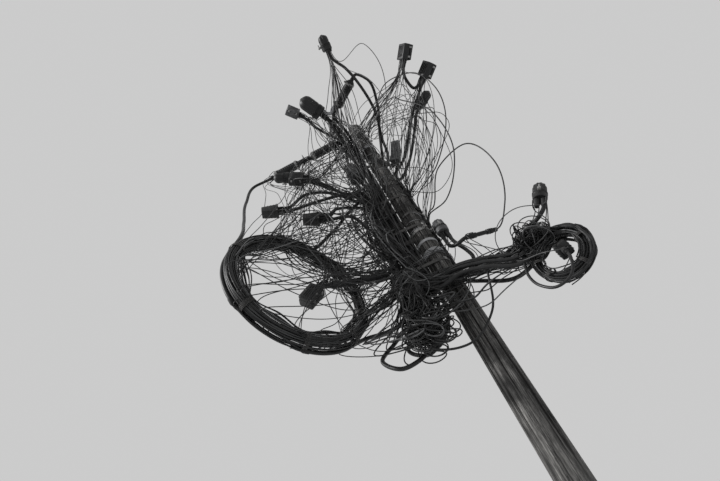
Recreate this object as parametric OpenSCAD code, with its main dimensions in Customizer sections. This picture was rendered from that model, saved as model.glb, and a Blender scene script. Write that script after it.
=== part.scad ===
/* [Pole] */
// Height of the pole from the ground line to its top
pole_h = 7000; // [5500:100:11000]
// Diameter of the pole at the ground line
pole_base_d = 224; // [190:1:320]
// Diameter of the pole at its top
pole_top_d = 156; // [130:1:220]

/* [Steel hardware] */
// Width of a steel strap around the pole
strap_w = 32; // [20:1:60]
// Thickness of a steel strap
strap_t = 3; // [2:0.5:6]
// Diameter of a through bolt
bolt_d = 16; // [12:1:24]
// Side of a square washer
washer_side = 58; // [40:1:90]
// Thickness of a square washer
washer_t = 5; // [3:0.5:8]
// Width of a nut or bolt head across its corners
nut_w = 28; // [24:1:44]
// Thickness of a nut or bolt head
nut_t = 13; // [8:1:20]
// Length of a strand clamp along its strand
clamp_len = 150; // [100:1:220]
// Height of a strand clamp
clamp_h = 52; // [44:1:80]
// Thickness of one plate of a strand clamp
clamp_t = 13; // [10:1:20]
// Diameter of the strand that a clamp takes
strand_d = 11; // [7:0.5:14]

/* [Cables] */
// Diameter of a heavy sheathed cable
cable_d = 32; // [24:1:36]
// Distance between neighbouring cables in the bundle on the pole
cable_pitch = 38; // [37:1:48]
// Columns of cables beside the pole
bundle_columns = 5; // [5:1:7]
// Rows of cables beside the pole
bundle_rows = 5; // [5:1:6]
// Radius of the large slack coil at the middle of its turns
coil_r = 550; // [420:5:650]
// Thickness of the large slack coil's bundle of turns
coil_t = 96; // [60:1:140]
// Radius of the small coil at the right at the middle of its turns
side_coil_r = 165; // [120:5:200]
// Thickness of the small coil's bundle of turns
side_coil_t = 64; // [40:1:90]

/* [Closures] */
// Diameter of the large dome closures
dome_d = 176; // [150:1:230]
// Length of the large dome closures
dome_len = 280; // [230:1:400]
// Diameter of the small dome closures
small_dome_d = 118; // [110:1:150]
// Length of the small dome closures
small_dome_len = 170; // [140:1:240]
// Diameter of the long inline closures
inline_d = 112; // [104:1:150]
// Length of the long inline closures
inline_len = 340; // [300:1:420]
// Side of the square terminal boxes
square_side = 150; // [130:1:200]
// Depth of the square terminal boxes
square_depth = 92; // [80:1:130]
// Width of the upright terminal beside the pole
upright_w = 96; // [90:1:130]
// Length of the upright terminal beside the pole
upright_len = 380; // [300:1:460]
// Depth of the upright terminal beside the pole
upright_depth = 70; // [60:1:100]

/* [Hidden] */
$fn = 48;

clear = 0.3;
cable_r = cable_d / 2;
port_depth = 26;
port_lead = 70;
hole_clear = 0.6;

// Radius of the pole at a height z above the ground line
function pole_r(z) = (pole_base_d - (pole_base_d - pole_top_d) * z / pole_h) / 2;
// Radius of the pole at a drop below its top
function drop_r(drop) = pole_r(pole_h - drop);

// A direction turned about X, then Y, then Z, as rotate() does
function turn_x(v, a) = [v.x, v.y * cos(a) - v.z * sin(a), v.y * sin(a) + v.z * cos(a)];
function turn_y(v, a) = [v.x * cos(a) + v.z * sin(a), v.y, v.z * cos(a) - v.x * sin(a)];
function turn_z(v, a) = [v.x * cos(a) - v.y * sin(a), v.x * sin(a) + v.y * cos(a), v.z];
function turned(v, a) = turn_z(turn_y(turn_x(v, a.x), a.y), a.z);

// A place given from the middle of the pole's top
function from_top(p) = p + [0, 0, pole_h];

// A smooth curve through hand chosen points, with a step for each few degrees that it bends
function knot(p, i) =
    i < 0 ? 2 * p[0] - p[1]
    : i >= len(p) ? 2 * p[len(p) - 1] - p[len(p) - 2]
    : p[i];
function slope(a, b, c) =
    let (h = norm(b - a), k = norm(c - b)) ((b - a) * k / h + (c - b) * h / k) / (h + k);
function curve_point(b, c, m, n, t) =
    (2 * t * t * t - 3 * t * t + 1) * b + (t * t * t - 2 * t * t + t) * m
    + (3 * t * t - 2 * t * t * t) * c + (t * t * t - t * t) * n;
function between(u, v) = acos(max(-1, min(1, u * v / (norm(u) * norm(v)))));
function stretch(b, c, m, n, step) =
    let (count = max(1, min(7, ceil((between(m, c - b) + between(n, c - b)) / step - 0.1))))
    [for (s = [0 : count - 1]) curve_point(b, c, m, n, s / count)];
function smooth(p, step) = concat(
    [for (i = [0 : len(p) - 2])
        let (b = p[i], c = p[i + 1], k = norm(c - b))
        each stretch(b, c, k * slope(knot(p, i - 1), b, c), k * slope(b, c, knot(p, i + 2)), step)],
    [p[len(p) - 1]]
);

// Frames carried along a curve without twist
function unit(v) = v / norm(v);
function tangent(p, i) = unit(p[min(i + 1, len(p) - 1)] - p[max(i - 1, 0)]);
function first_side(t) = unit(cross(t, abs(t.z) < 0.9 ? [0, 0, 1] : [1, 0, 0]));
function carried(side, t) = unit(side - t * (side * t));
function sides(p, i = 0, last = undef) =
    i >= len(p) ? []
    : let (t = tangent(p, i), side = i == 0 ? first_side(t) : carried(last, t))
        concat([side], sides(p, i + 1, side));

// A round cable swept along points
module tube(p, r, n = 8) {
    side = sides(p);
    last = len(p) - 1;
    points = [for (i = [0 : last], k = [0 : n - 1])
        let (t = tangent(p, i), a = 360 * k / n)
            p[i] + r * (cos(a) * side[i] + sin(a) * cross(t, side[i]))];
    walls = [for (i = [0 : last - 1], k = [0 : n - 1], half = [0, 1])
        let (a = i * n + k, b = i * n + (k + 1) % n)
            half == 0 ? [a, a + n, b + n] : [a, b + n, b]];
    start = [for (k = [1 : n - 2]) [0, k, k + 1]];
    end = [for (k = [1 : n - 2]) [last * n, last * n + k + 1, last * n + k]];
    polyhedron(points, concat(walls, start, end));
}

// Closures: place of the middle from the pole's top, turn, half of the length, port spacing
port_gap = 26;
small_port_gap = 24;
dome_left = [[-270, -30, -970], [0, 0, 0], dome_len / 2, port_gap];
upright = [[252, -10, -890], [0, 19, 0], upright_len / 2, small_port_gap];
round_right = [[172, -40, -2360], [0, 0, 0], small_dome_len / 2, small_port_gap];
front_dome = [[-400, -640, -260], [0, 66, -124], dome_len / 2, port_gap];
front_inline = [[0, -640, -330], [0, 90, -40], inline_len / 2, 0];
front_square = [[-620, -620, -140], [0, 77, -135], square_side / 2, port_gap];
front_oval = [[20, -1180, -120], [0, 60, -90], small_dome_len / 2, small_port_gap];
square_high = [[670, -1000, -840], [0, 70, -56], square_side / 2, port_gap];
square_low = [[800, -800, -990], [0, 80, -45], square_side / 2, port_gap];
small_right = [[770, -400, -750], [0, 70, -27], small_dome_len / 2, small_port_gap];
strand_near = [[-480, -200, -520], [0, 90, 176], inline_len / 2, 0];
strand_far = [[-960, -166, -520], [0, 90, 176], inline_len / 2, 0];
group_box = [[-860, -330, -1080], [0, 75, 201], square_side / 2, port_gap];
group_dome = [[-1010, -330, -930], [0, 80, 198], small_dome_len / 2, small_port_gap];
tapered_far = [[-1190, -400, -1560], [0, 85, 198], 80, port_gap];
tapered_near = [[-850, -290, -1800], [0, 80, 199], 80, port_gap];
ring_box = [[-1010, -400, -2860], [0, 135, 196], 85, 0];
foot_box = [[-330, -170, -2980], [0, 0, 0], 110, port_gap];
cluster_box = [[715, -325, -3370], [0, 44, 66], 55, 0];
side_dome = [[830, -460, -2920], [0, 30, 0], 85, small_port_gap];
small_inline_near = [[-560, -220, -2760], [0, 92, 200], 75, 0];
small_inline_far = [[-780, -310, -2775], [0, 92, 203], 75, 0];
small_inline_d = 70;
bar_at = [[400, -130, -2730], [0, 82, 20], 80, 0];

// The large slack coil stands upright, turned about the vertical
coil_at = [-1080, -420, -2740];
coil_turn = 50;
// The small coil at the right
side_coil_at = [690, -310, -3390];
side_coil_turn = -24;
// A point beside a coil: angle round the ring, and angle round its bundle of turns
function beside(middle, turn, ring, gap, angle, round) =
    from_top(middle)
    + (ring + gap * cos(round)) * [cos(angle) * cos(turn), cos(angle) * sin(turn), sin(angle)]
    + gap * sin(round) * [sin(turn), -cos(turn), 0];
function by_coil(angle, round) =
    beside(coil_at, coil_turn, coil_r, coil_t / 2 + cable_r + 0.5, angle, round);
function by_side_coil(angle, round) =
    beside(side_coil_at, side_coil_turn, side_coil_r, side_coil_t / 2 + cable_r + 0.5, angle, round);

// A stretch of cable laid along a coil, from one angle to another
function on_coil(a, b, round) = [for (i = [0 : 6]) by_coil(a + (b - a) * i / 6, round)];
function on_side_coil(a, b, round) = [for (i = [0 : 6]) by_side_coil(a + (b - a) * i / 6, round)];

// A point on a port's axis: side 1 or -1 picks the port, out is the way out of its mouth
function port(c, side, out) =
    from_top(c[0]) + turned([side * c[3], 0, -(c[2] + out)], c[1]);
// The same at the far end of an inline closure
function far_port(c, out) = from_top(c[0]) + turned([0, 0, c[2] + out], c[1]);
// The end of a cable that comes out of a port, and that of one that goes in
// A short lead is for closures that hang close together
function leaves(c, side, lead = port_lead) = [
    port(c, side, clear - port_depth), port(c, side, 4), port(c, side, lead)
];
function enters(c, side, lead = port_lead) = [
    port(c, side, lead), port(c, side, 4), port(c, side, clear - port_depth)
];
function far_leaves(c, lead = port_lead) = [
    far_port(c, clear - port_depth), far_port(c, 4), far_port(c, lead)
];

module at(c) {
    translate(from_top(c[0])) rotate(c[1]) children();
}

module port_holes(c, r = cable_r) {
    for (side = c[3] > 0 ? [-1, 1] : [0])
        translate([side * c[3], 0, -c[2] - 1])
            cylinder(r = r + hole_clear, h = port_depth + 1);
}

// Cables beside the pole: the place of one column and row of the bundle
bundle_top = -1650;
bundle_foot = -2860;
bundle_gap = 5;
function slot(column, row, z) = from_top([
    -(drop_r(-bundle_foot) + bundle_gap + cable_r + column * cable_pitch),
    (row - (bundle_rows - 1) / 2) * cable_pitch,
    z
]);
// Both ends of one stretch in the bundle, going down, and going up
function down(column, row) = [
    slot(column, row, bundle_top), slot(column, row, bundle_top - 80),
    slot(column, row, bundle_foot + 80), slot(column, row, bundle_foot)
];
function up(column, row) = [
    slot(column, row, bundle_foot), slot(column, row, bundle_foot + 80),
    slot(column, row, bundle_top - 80), slot(column, row, bundle_top)
];
// Cables behind the right of the pole stand around it
back_count = 5;
back_top = -1320;
back_foot = -2700;
function back_slot(i, z) =
    let (r = drop_r(-back_foot) + bundle_gap + cable_r, a = 12 + i * 20)
    from_top([r * cos(a), r * sin(a), z]);
function back_down(i) = [
    back_slot(i, back_top), back_slot(i, back_top - 80),
    back_slot(i, back_foot + 80), back_slot(i, back_foot)
];
function places(list) = [for (p = list) from_top(p)];

// Heights of the hardware, measured down from the top
top_bolt_drop = 150;
upper_bolt_drop = 290;
hook_band_drop = 400;
strap_drops = [1760, 2260, 2760];
back_strap_drops = [1450, 2060];
band_ears_turn = -150;

// The wooden shaft with its drilled holes
module pole_shaft() {
    color("#6b625a") difference() {
        cylinder(r1 = pole_base_d / 2, r2 = pole_top_d / 2, h = pole_h);
        for (drop = [top_bolt_drop, upper_bolt_drop])
            translate([0, 0, pole_h - drop]) rotate([90, 0, 0])
                cylinder(d = bolt_d + 2 * clear, h = pole_base_d + 2, center = true);
    }
}

// A bolt along Y through the pole, with its square washers, head and nut
module through_bolt(drop, front_pack, back_pack) {
    r = drop_r(drop + washer_side / 2);
    front = -r - clear - washer_t - front_pack - nut_t;
    back = r + clear + washer_t + back_pack + nut_t + 18;
    color("#8c8c8c") translate([0, 0, pole_h - drop]) {
        translate([0, back, 0]) rotate([90, 0, 0]) cylinder(d = bolt_d, h = back - front);
        for (y = [-r - clear - washer_t, r + clear])
            translate([-washer_side / 2, y, -washer_side / 2])
                cube([washer_side, washer_t, washer_side]);
        translate([0, front + nut_t, 0]) rotate([90, 0, 0]) cylinder(d = nut_w, h = nut_t, $fn = 6);
        translate([0, back - 18, 0]) rotate([90, 0, 0]) cylinder(d = nut_w, h = nut_t, $fn = 6);
    }
}

module top_through_bolt() {
    through_bolt(top_bolt_drop, 0, 2 * clamp_t + 2 * clear);
}

module upper_through_bolt() {
    through_bolt(upper_bolt_drop, 2 * clamp_t + 2 * clear, 0);
}

// Two plates with a groove for the strand between them, held by three bolts
module strand_clamp() {
    groove_z = clamp_h / 2 - strand_d;
    color("#9a9a9a") difference() {
        union() {
            for (y = [0, clamp_t + clear])
                translate([-clamp_len / 2, y, -clamp_h / 2]) cube([clamp_len, clamp_t, clamp_h]);
            for (x = [-clamp_len / 2 + 26, clamp_len / 2 - 26]) {
                translate([x, 2 * clamp_t + clear + 8, -6]) rotate([90, 0, 0])
                    cylinder(d = 22, h = 8, $fn = 6);
                translate([x, 2 * clamp_t + clear + 1, -6]) rotate([90, 0, 0])
                    cylinder(d = 12, h = 2 * clamp_t + clear + 1);
            }
        }
        translate([0, clamp_t + clear / 2, groove_z]) rotate([0, 90, 0])
            cylinder(d = strand_d, h = clamp_len + 2, center = true);
        translate([0, -1, 0]) rotate([-90, 0, 0])
            cylinder(d = bolt_d + 2 * clear, h = 2 * clamp_t + clear + 2);
    }
}

clamp_seat = washer_t + 2 * clear;

module back_strand_clamp() {
    translate([0, drop_r(top_bolt_drop + washer_side / 2) + clamp_seat, pole_h - top_bolt_drop])
        strand_clamp();
}

module front_strand_clamp() {
    translate([0, -drop_r(upper_bolt_drop + washer_side / 2) - clamp_seat, pole_h - upper_bolt_drop])
        rotate([0, 0, 180]) strand_clamp();
}

// A steel band around the pole with two ears and their bolt
module band(drop) {
    r = drop_r(drop + strap_w / 2) + clear;
    rotate([0, 0, band_ears_turn]) translate([0, 0, pole_h - drop - strap_w / 2]) {
        difference() {
            union() {
                cylinder(r = r + strap_t, h = strap_w);
                for (x = [-7 - strap_t, 7]) translate([x, r - 2, 0]) cube([strap_t, 34, strap_w]);
            }
            translate([0, 0, -1]) cylinder(r = r, h = strap_w + 2);
        }
        translate([0, r + 20, strap_w / 2]) rotate([0, 90, 0]) {
            cylinder(d = 10, h = 40, center = true);
            for (z = [-7 - strap_t - 7, 7 + strap_t]) translate([0, 0, z]) cylinder(d = 18, h = 7, $fn = 6);
        }
    }
}

module hook_band() {
    color("#8c8c8c") band(hook_band_drop);
}

// An open hook of round steel on the left of the band
hook_r = 9;
hook_bend = 36;
module guy_hook() {
    r = drop_r(hook_band_drop + strap_w / 2) + clear + strap_t + clear;
    color("#777777") translate([-r, 0, pole_h - hook_band_drop]) {
        translate([-10, -24, -26]) cube([10, 48, 52]);
        translate([-9, 0, 0]) rotate([0, -90, 0]) cylinder(r = hook_r, h = 40);
        translate([-48, 0, -hook_bend]) rotate([90, 0, 0]) rotate([0, 0, -180])
            rotate_extrude(angle = 270) translate([hook_bend, 0]) circle(r = hook_r);
    }
}

// Small hooks for drop wires around the front of the band
drop_hook_r = 4;
drop_hook_bend = 16;
drop_hook_turns = [-155, -125, -95, -25, 12];
module drop_wire_hooks() {
    r = drop_r(hook_band_drop + strap_w / 2) + clear + strap_t + clear;
    color("#777777") for (a = drop_hook_turns)
        rotate([0, 0, a]) translate([r, 0, pole_h - hook_band_drop]) {
            translate([0, -9, -14]) cube([5, 18, 28]);
            translate([4, 0, 0]) rotate([0, 90, 0]) cylinder(r = drop_hook_r, h = 16);
            translate([20, 0, drop_hook_bend]) rotate([90, 0, 0]) rotate([0, 0, -90])
                rotate_extrude(angle = 230) translate([drop_hook_bend, 0]) circle(r = drop_hook_r);
        }
}

// A bracket: a band around the pole with an arm that ends in a saddle plate
module bracket(drop, angle, plate_x, plate_w, plate_h) {
    r = drop_r(drop + strap_w / 2) + clear + strap_t - 1;
    color("#7d7d7d") {
        band(drop);
        rotate([0, 0, angle]) translate([0, 0, pole_h - drop]) {
            translate([r, -12, -10]) cube([plate_x - r, 24, 20]);
            translate([plate_x - 6, -plate_w / 2, -plate_h / 2]) cube([6, plate_w, plate_h]);
        }
    }
}

dome_bracket_drop = 940;
round_bracket_drop = 2330;
terminal_bracket_drop = 1000;

module dome_bracket() {
    reach = norm([dome_left[0].x, dome_left[0].y]) - dome_d / 2 + 8 - clear;
    bracket(dome_bracket_drop, atan2(dome_left[0].y, dome_left[0].x), reach, 60, 90);
}

// The upright terminal's saddle leans with it, on a short arm
module terminal_bracket() {
    drop = terminal_bracket_drop;
    lean = upright[1].y;
    middle = upright[0].x - (drop + upright[0].z) * tan(lean);
    near = middle - (upright_w / 2 + 6 + clear) / cos(lean);
    r = drop_r(drop + strap_w / 2) + clear + strap_t - 1;
    color("#7d7d7d") {
        band(drop);
        translate([0, upright[0].y, pole_h - drop]) {
            translate([r, -8, -10]) cube([near - r + 2, 16, 20]);
            translate([near, -34, 0]) rotate([0, lean, 0]) translate([0, 0, -40]) cube([6, 34, 80]);
        }
    }
}

module round_closure_bracket() {
    reach = norm([round_right[0].x, round_right[0].y]) - small_dome_d / 2 + 8 - clear;
    bracket(round_bracket_drop, atan2(round_right[0].y, round_right[0].x), reach, 40, 70);
}

// Straps that hold the cables to the pole, drawn tight around both
strap_sides = 24;
function strap_r(r, outer) = (r + clear + outer) / cos(180 / strap_sides);
module strap_loop(r, outer) {
    half = (bundle_rows - 1) / 2 * cable_pitch;
    hull() {
        circle(r = strap_r(r, outer), $fn = strap_sides);
        for (column = [0, bundle_columns - 1], y = [-half, half])
            translate([slot(column, 0, 0).x, y]) circle(r = strap_r(cable_r - 3 * clear, outer), $fn = strap_sides);
    }
}

module bundle_straps() {
    color("#555555") {
        for (drop = strap_drops) translate([0, 0, pole_h - drop - strap_w / 2])
            linear_extrude(height = strap_w) difference() {
                strap_loop(drop_r(drop + strap_w / 2), strap_t);
                strap_loop(drop_r(drop + strap_w / 2), 0);
            }
        for (drop = back_strap_drops) translate([0, 0, pole_h - drop - strap_w / 2])
            linear_extrude(height = strap_w) difference() {
                back_strap_loop(drop_r(drop + strap_w / 2), strap_t);
                back_strap_loop(drop_r(drop + strap_w / 2), 0);
            }
    }
}

module back_strap_loop(r, outer) {
    hull() {
        circle(r = strap_r(r, outer), $fn = strap_sides);
        for (i = [0 : back_count - 1]) translate([back_slot(i, 0).x, back_slot(i, 0).y])
            circle(r = strap_r(cable_r, outer), $fn = strap_sides);
    }
}

// A dome closure, its ports down, with a clamp ring above its base
base_h = 44;
ring_h = 24;
module dome_closure(c, d) {
    length = 2 * c[2];
    color("#262626") at(c) difference() {
        union() {
            translate([0, 0, -c[2]]) cylinder(d = d - 8, h = base_h + 2);
            translate([0, 0, -c[2] + base_h]) cylinder(d = d, h = ring_h);
            translate([0, 0, -c[2] + base_h + ring_h - 1])
                cylinder(d = d - 16, h = length - base_h - ring_h - (d - 16) / 2 + 1);
            translate([0, 0, c[2] - (d - 16) / 2]) sphere(d = d - 16);
        }
        port_holes(c);
    }
}

// A box with a lid seam, its ports down
module terminal_box(c, w, depth) {
    color("#202020") at(c) difference() {
        union() {
            translate([-w / 2, -depth / 2, -c[2]]) cube([w, depth - 22, 2 * c[2]]);
            translate([-w / 2 - 4, depth / 2 - 24, -c[2] + 1]) cube([w + 8, 24, 2 * c[2] - 2]);
        }
        port_holes(c);
    }
}

// A closure in line with its cable, with a clamp band at each end
module inline_closure(c, d) {
    color("#242424") at(c) difference() {
        union() {
            cylinder(d = d - 10, h = 2 * c[2], center = true);
            for (z = [-c[2] + 30, c[2] - 54]) translate([0, 0, z]) cylinder(d = d, h = 24);
            translate([d / 2 - 14, -8, -c[2] + 40]) cube([16, 16, 2 * c[2] - 80]);
        }
        port_holes(c);
        rotate([180, 0, 0]) port_holes(c);
    }
}

module dome_closure_left() { dome_closure(dome_left, dome_d); }
module upright_terminal() { terminal_box(upright, upright_w, upright_depth); }
module round_closure_right() { dome_closure(round_right, small_dome_d); }
module front_dome_closure() { dome_closure(front_dome, dome_d); }
module front_inline_closure() { inline_closure(front_inline, inline_d); }
module front_square_box() { terminal_box(front_square, square_side, square_depth); }
module front_oval_closure() { dome_closure(front_oval, small_dome_d); }
module square_boxes_right() {
    terminal_box(square_high, square_side, square_depth);
    terminal_box(square_low, square_side, square_depth);
}
module small_closure_right() { dome_closure(small_right, small_dome_d); }
module strand_inline_closures() {
    inline_closure(strand_near, inline_d);
    inline_closure(strand_far, inline_d);
}
module left_box_group() {
    terminal_box(group_box, square_side, square_depth);
    dome_closure(group_dome, small_dome_d);
}
// A box whose sides draw in towards its closed end
module tapered_box(c) {
    wide = 62;
    narrow = 40;
    color("#202020") at(c) difference() {
        rotate([90, 0, 0]) linear_extrude(height = 90, center = true)
            polygon([[-wide, -c[2]], [wide, -c[2]], [narrow, c[2]], [-narrow, c[2]]]);
        port_holes(c);
    }
}
module tapered_boxes_left() {
    tapered_box(tapered_far);
    tapered_box(tapered_near);
}
module coil_closure() { terminal_box(ring_box, 120, 92); }
module bundle_foot_box() { terminal_box(foot_box, 150, 110); }
module small_inline_closures() {
    for (c = [small_inline_near, small_inline_far]) color("#2b2b2b") at(c) difference() {
        cylinder(d = small_inline_d, h = 2 * c[2], center = true);
        port_holes(c);
        rotate([180, 0, 0]) port_holes(c);
    }
}
module side_cluster_box() {
    color("#1d1d1d") at(cluster_box) difference() {
        translate([-54, -46, -cluster_box[2]]) cube([108, 92, 2 * cluster_box[2]]);
        port_holes(cluster_box);
    }
}
module side_closure() { dome_closure(side_dome, small_dome_d - 8); }
module side_bar() {
    color("#2b2b2b") at(bar_at) difference() {
        cylinder(d = 44, h = 2 * bar_at[2], center = true);
        port_holes(bar_at);
    }
}

// Heavy cables, each from one closure to another, held in the straps on its way
dome_to_foot = concat(
    leaves(dome_left, 1), [slot(3, 1, -1400)], down(3, 1),
    places([[-252, -58, -3070], [-274, -62, -3160], [-293, -115, -3216]]), enters(foot_box, 1)
);
dome_to_coil = concat(
    leaves(dome_left, -1), [slot(4, 1, -1400)], down(4, 1),
    places([[-310, -25, -3010], [-430, 30, -3080], [-610, 60, -3090], [-770, 30, -3090]]),
    on_coil(-52, -94, -50)
);
coil_to_foot = concat(
    on_coil(118, 76, -50),
    places([[-700, -180, -1960], [-480, -120, -1700], [-325, -86, -1590]]),
    down(4, 0),
    places([[-298, -78, -3060], [-330, -80, -3150], [-348, -125, -3208]]), enters(foot_box, -1)
);
dome_one_to_side = concat(
    leaves(front_dome, -1),
    places([[-190, -290, -520], [-151, -90, -680], [-151, 24, -840], [-151, 24, -1000]]),
    [slot(1, 1, -1250)], down(1, 1),
    places([[-135, -110, -2980], [-60, -185, -3020], [80, -215, -3045], [260, -240, -3120]]),
    places([[450, -268, -3222]]),
    on_side_coil(100, 30, 60)
);
dome_two_to_group = concat(
    leaves(front_dome, 1),
    places([[-240, -280, -560], [-210, -90, -690], [-195, 64, -880], [-195, 64, -1130]]),
    [slot(2, 2, -1380)], down(2, 2),
    places([[-205, 0, -3000], [-250, -10, -3250], [-380, -60, -3480], [-600, -80, -3540]]),
    places([[-720, -20, -3380], [-590, 80, -3200], [-400, 90, -3070], [-260, 62, -2990]]),
    up(2, 3),
    places([[-230, 70, -1430], [-430, 0, -1290], [-620, -170, -1150]]), enters(group_box, 1)
);
inline_to_side = concat(
    leaves(front_inline, 0),
    places([[-140, -260, -470], [-113, -90, -640], [-113, 24, -800], [-113, 24, -1000]]),
    [slot(0, 1, -1250)], down(0, 1),
    places([[-100, -90, -2930], [-40, -150, -2960], [90, -190, -2990], [270, -220, -3060]]),
    places([[460, -248, -3165]]),
    on_side_coil(92, 22, 0)
);
square_to_dome = concat(
    leaves(front_square, 1),
    places([[-440, -400, -320], [-250, -200, -460], [-125, -60, -560]]),
    places([[-113, 62, -740], [-113, 62, -1000]]), [slot(0, 3, -1200)], down(0, 3),
    places([[-115, 55, -3050], [-200, 60, -3300], [-400, 70, -3420], [-520, 120, -3280]]),
    places([[-390, 125, -3150], [-220, 95, -3130], [-155, 80, -3020]]),
    up(1, 4),
    places([[-170, 90, -1450], [-300, 90, -1290], [-480, 20, -1150], [-700, -130, -1010]]),
    enters(group_dome, 1)
);
tapered_near_to_ring = concat(
    leaves(tapered_near, 1),
    places([[-520, -200, -1880], [-400, -160, -2150], [-350, -130, -2450], [-360, -142, -2660]]),
    enters(small_inline_near, 0)
);
tapered_far_to_side = concat(
    leaves(tapered_far, 1), places([[-800, -270, -1530], [-500, -160, -1450], [-300, -100, -1485]]),
    down(3, 0), places([[-220, -95, -2990], [-120, -190, -3120], [60, -230, -3110]]),
    places([[250, -262, -3190], [430, -280, -3300]]),
    on_side_coil(112, 48, 120)
);
between_small_inlines = concat(far_leaves(small_inline_near, 30), enters(small_inline_far, 0, 30));
small_inline_to_ring = concat(far_leaves(small_inline_far, 28), enters(ring_box, 0, 32));

// Cables behind the right of the pole
upright_to_round = concat(
    leaves(upright, 1), back_down(0),
    places([[122, 17, -2860], [160, -12, -2942], [212, -48, -2948], [248, -70, -2880]]),
    places([[240, -64, -2760], [206, -44, -2620]]),
    enters(round_right, 1)
);
bar_to_round = concat(
    leaves(bar_at, 0), places([[190, -160, -2755], [150, -90, -2680]]), enters(round_right, -1)
);
small_to_side = concat(
    leaves(small_right, 1),
    places([[510, -230, -1000], [300, 10, -1180], [165, 85, -1270]]), back_down(1),
    places([[150, 70, -2880], [330, -60, -3010], [580, -330, -3110]]), enters(side_dome, 1)
);
inline_to_side_coil = concat(
    far_leaves(front_inline),
    places([[290, -720, -380], [300, -420, -470], [200, -130, -570], [130, 60, -700]]),
    [back_slot(2, -950)], back_down(2),
    places([[110, 90, -2880], [220, -20, -3090], [420, -150, -3290]]),
    on_side_coil(116, 56, -90)
);
square_low_to_near = concat(
    leaves(square_low, 1),
    places([[560, -520, -1060], [400, -150, -1010], [290, 70, -990], [150, 150, -1040]]),
    places([[60, 150, -1120]]), [back_slot(3, -1260)], back_down(3),
    places([[20, 125, -2900], [-60, 150, -3040], [-190, 145, -3060], [-262, 100, -2970]]),
    up(4, 4), places([[-298, 48, -1600], [-450, -60, -1590], [-600, -170, -1650]]),
    enters(tapered_near, -1)
);
oval_to_far = concat(
    leaves(front_oval, 1),
    places([[120, -900, -330], [190, -700, -480], [230, -420, -600], [190, -110, -690]]),
    places([[170, 70, -800], [100, 135, -880], [0, 126, -980]]), [back_slot(4, -1100)], back_down(4),
    places([[-20, 120, -2840], [-80, 128, -2930], [-170, 120, -2960], [-222, 95, -2920]]),
    up(3, 4), places([[-262, 60, -1560], [-400, -20, -1440], [-600, -170, -1340], [-830, -310, -1400]]),
    enters(tapered_far, -1)
);
between_squares = concat(
    leaves(square_high, 1), places([[600, -740, -880], [640, -660, -960]]), enters(square_low, -1)
);

// The pair of closures on the left, fed from the bundle, with a long return to the coil
bundle_to_strand = concat(
    on_side_coil(20, 90, -45),
    places([[480, -190, -3180], [270, -170, -3110], [80, -160, -3070], [-90, -130, -3060]]),
    places([[-160, 0, -2990]]),
    up(1, 3), [slot(1, 3, -1200)],
    places([[-151, 62, -1000], [-151, 62, -860], [-151, 30, -720], [-165, -60, -610], [-200, -170, -540]]),
    enters(strand_near, 0)
);
between_strand_closures = concat(far_leaves(strand_near), enters(strand_far, 0));
strand_to_coil = concat(
    far_leaves(strand_far),
    places([[-1360, -200, -620], [-1460, -280, -1000], [-1440, -470, -1650], [-1395, -695, -2190]]),
    on_coil(158, 206, -50)
);

cable_step = 24;
module cable(route) {
    color("#1c1c1c") tube(smooth(route, cable_step), cable_r - clear);
}
module dome_cables() {
    cable(dome_to_foot);
    cable(dome_to_coil);
}
module coil_feed_cables() {
    cable(coil_to_foot);
}
module top_left_cables() {
    cable(dome_one_to_side);
    cable(dome_two_to_group);
    cable(inline_to_side);
    cable(square_to_dome);
}
module left_closure_cables() {
    cable(tapered_near_to_ring);
    cable(tapered_far_to_side);
}
module ring_chord_cable() {
    cable(between_small_inlines);
    cable(small_inline_to_ring);
}
module back_cables() {
    cable(upright_to_round);
    cable(small_to_side);
    cable(inline_to_side_coil);
    cable(oval_to_far);
}
module side_bundle_cables() {
    cable(square_low_to_near);
    cable(between_squares);
    cable(bar_to_round);
}
module strand_cables() {
    cable(bundle_to_strand);
    cable(between_strand_closures);
    cable(strand_to_coil);
}

// Coils: one closed ring of the outer shape of their turns
module slack_coil() {
    color("#161616") translate(from_top(coil_at)) rotate([90, 0, coil_turn])
        rotate_extrude() translate([coil_r, 0]) circle(d = coil_t);
}
module side_coil() {
    color("#161616") translate(from_top(side_coil_at)) rotate([90, 0, side_coil_turn])
        rotate_extrude() translate([side_coil_r, 0]) circle(d = side_coil_t);
}

// Free loops of drop wire that spring out and come back
drop_wire_r = 6;
hose_r = 10;
loop_step = 18;
module loop(route, r) {
    color("#202020") tube(smooth(route, loop_step), r);
}
spring_high = places([
    [98, -35, -389.3], [88, -57, -389], [122, -118, -368], [300, -240, -190], [520, -420, -60],
    [800, -520, -260], [900, -500, -760],
    [780, -380, -1300], [470, -180, -1680], [135, -20, -1900]
]);
spring_wide = places([
    [-19, -102, -390.2], [3, -104, -389.6], [150, -200, -370], [330, -330, -385], [470, -470, -560],
    [480, -560, -860],
    [620, -600, -1500], [560, -420, -2000], [330, -160, -2200], [140, -10, -2150]
]);
spring_low = places([
    [475.5, -102.5, -2718.7], [560, -75, -2700], [690, -200, -2600], [800, -380, -2300], [700, -420, -1900],
    [420, -300, -1900], [200, -120, -2180]
]);
hose = concat(
    [port(cluster_box, 0, 1 - port_depth), port(cluster_box, 0, 4), port(cluster_box, 0, 50)],
    places([
        [655, -440, -3550], [590, -425, -3655], [490, -375, -3660], [425, -325, -3560],
        [420, -292, -3430], [455, -284, -3316.8]
    ])
);
hanging = places([
    [-380, -233.5, -3040], [-440, -240, -3300], [-360, -180, -3560], [-120, -180, -3640],
    [100, -200, -3500], [230, -230, -3200]
]);
module spring_loop_high() { loop(spring_high, drop_wire_r); }
module spring_loop_wide() { loop(spring_wide, drop_wire_r); }
module spring_loop_low() { loop(spring_low, drop_wire_r); }
module hose_loop() { loop(hose, hose_r); }
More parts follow.
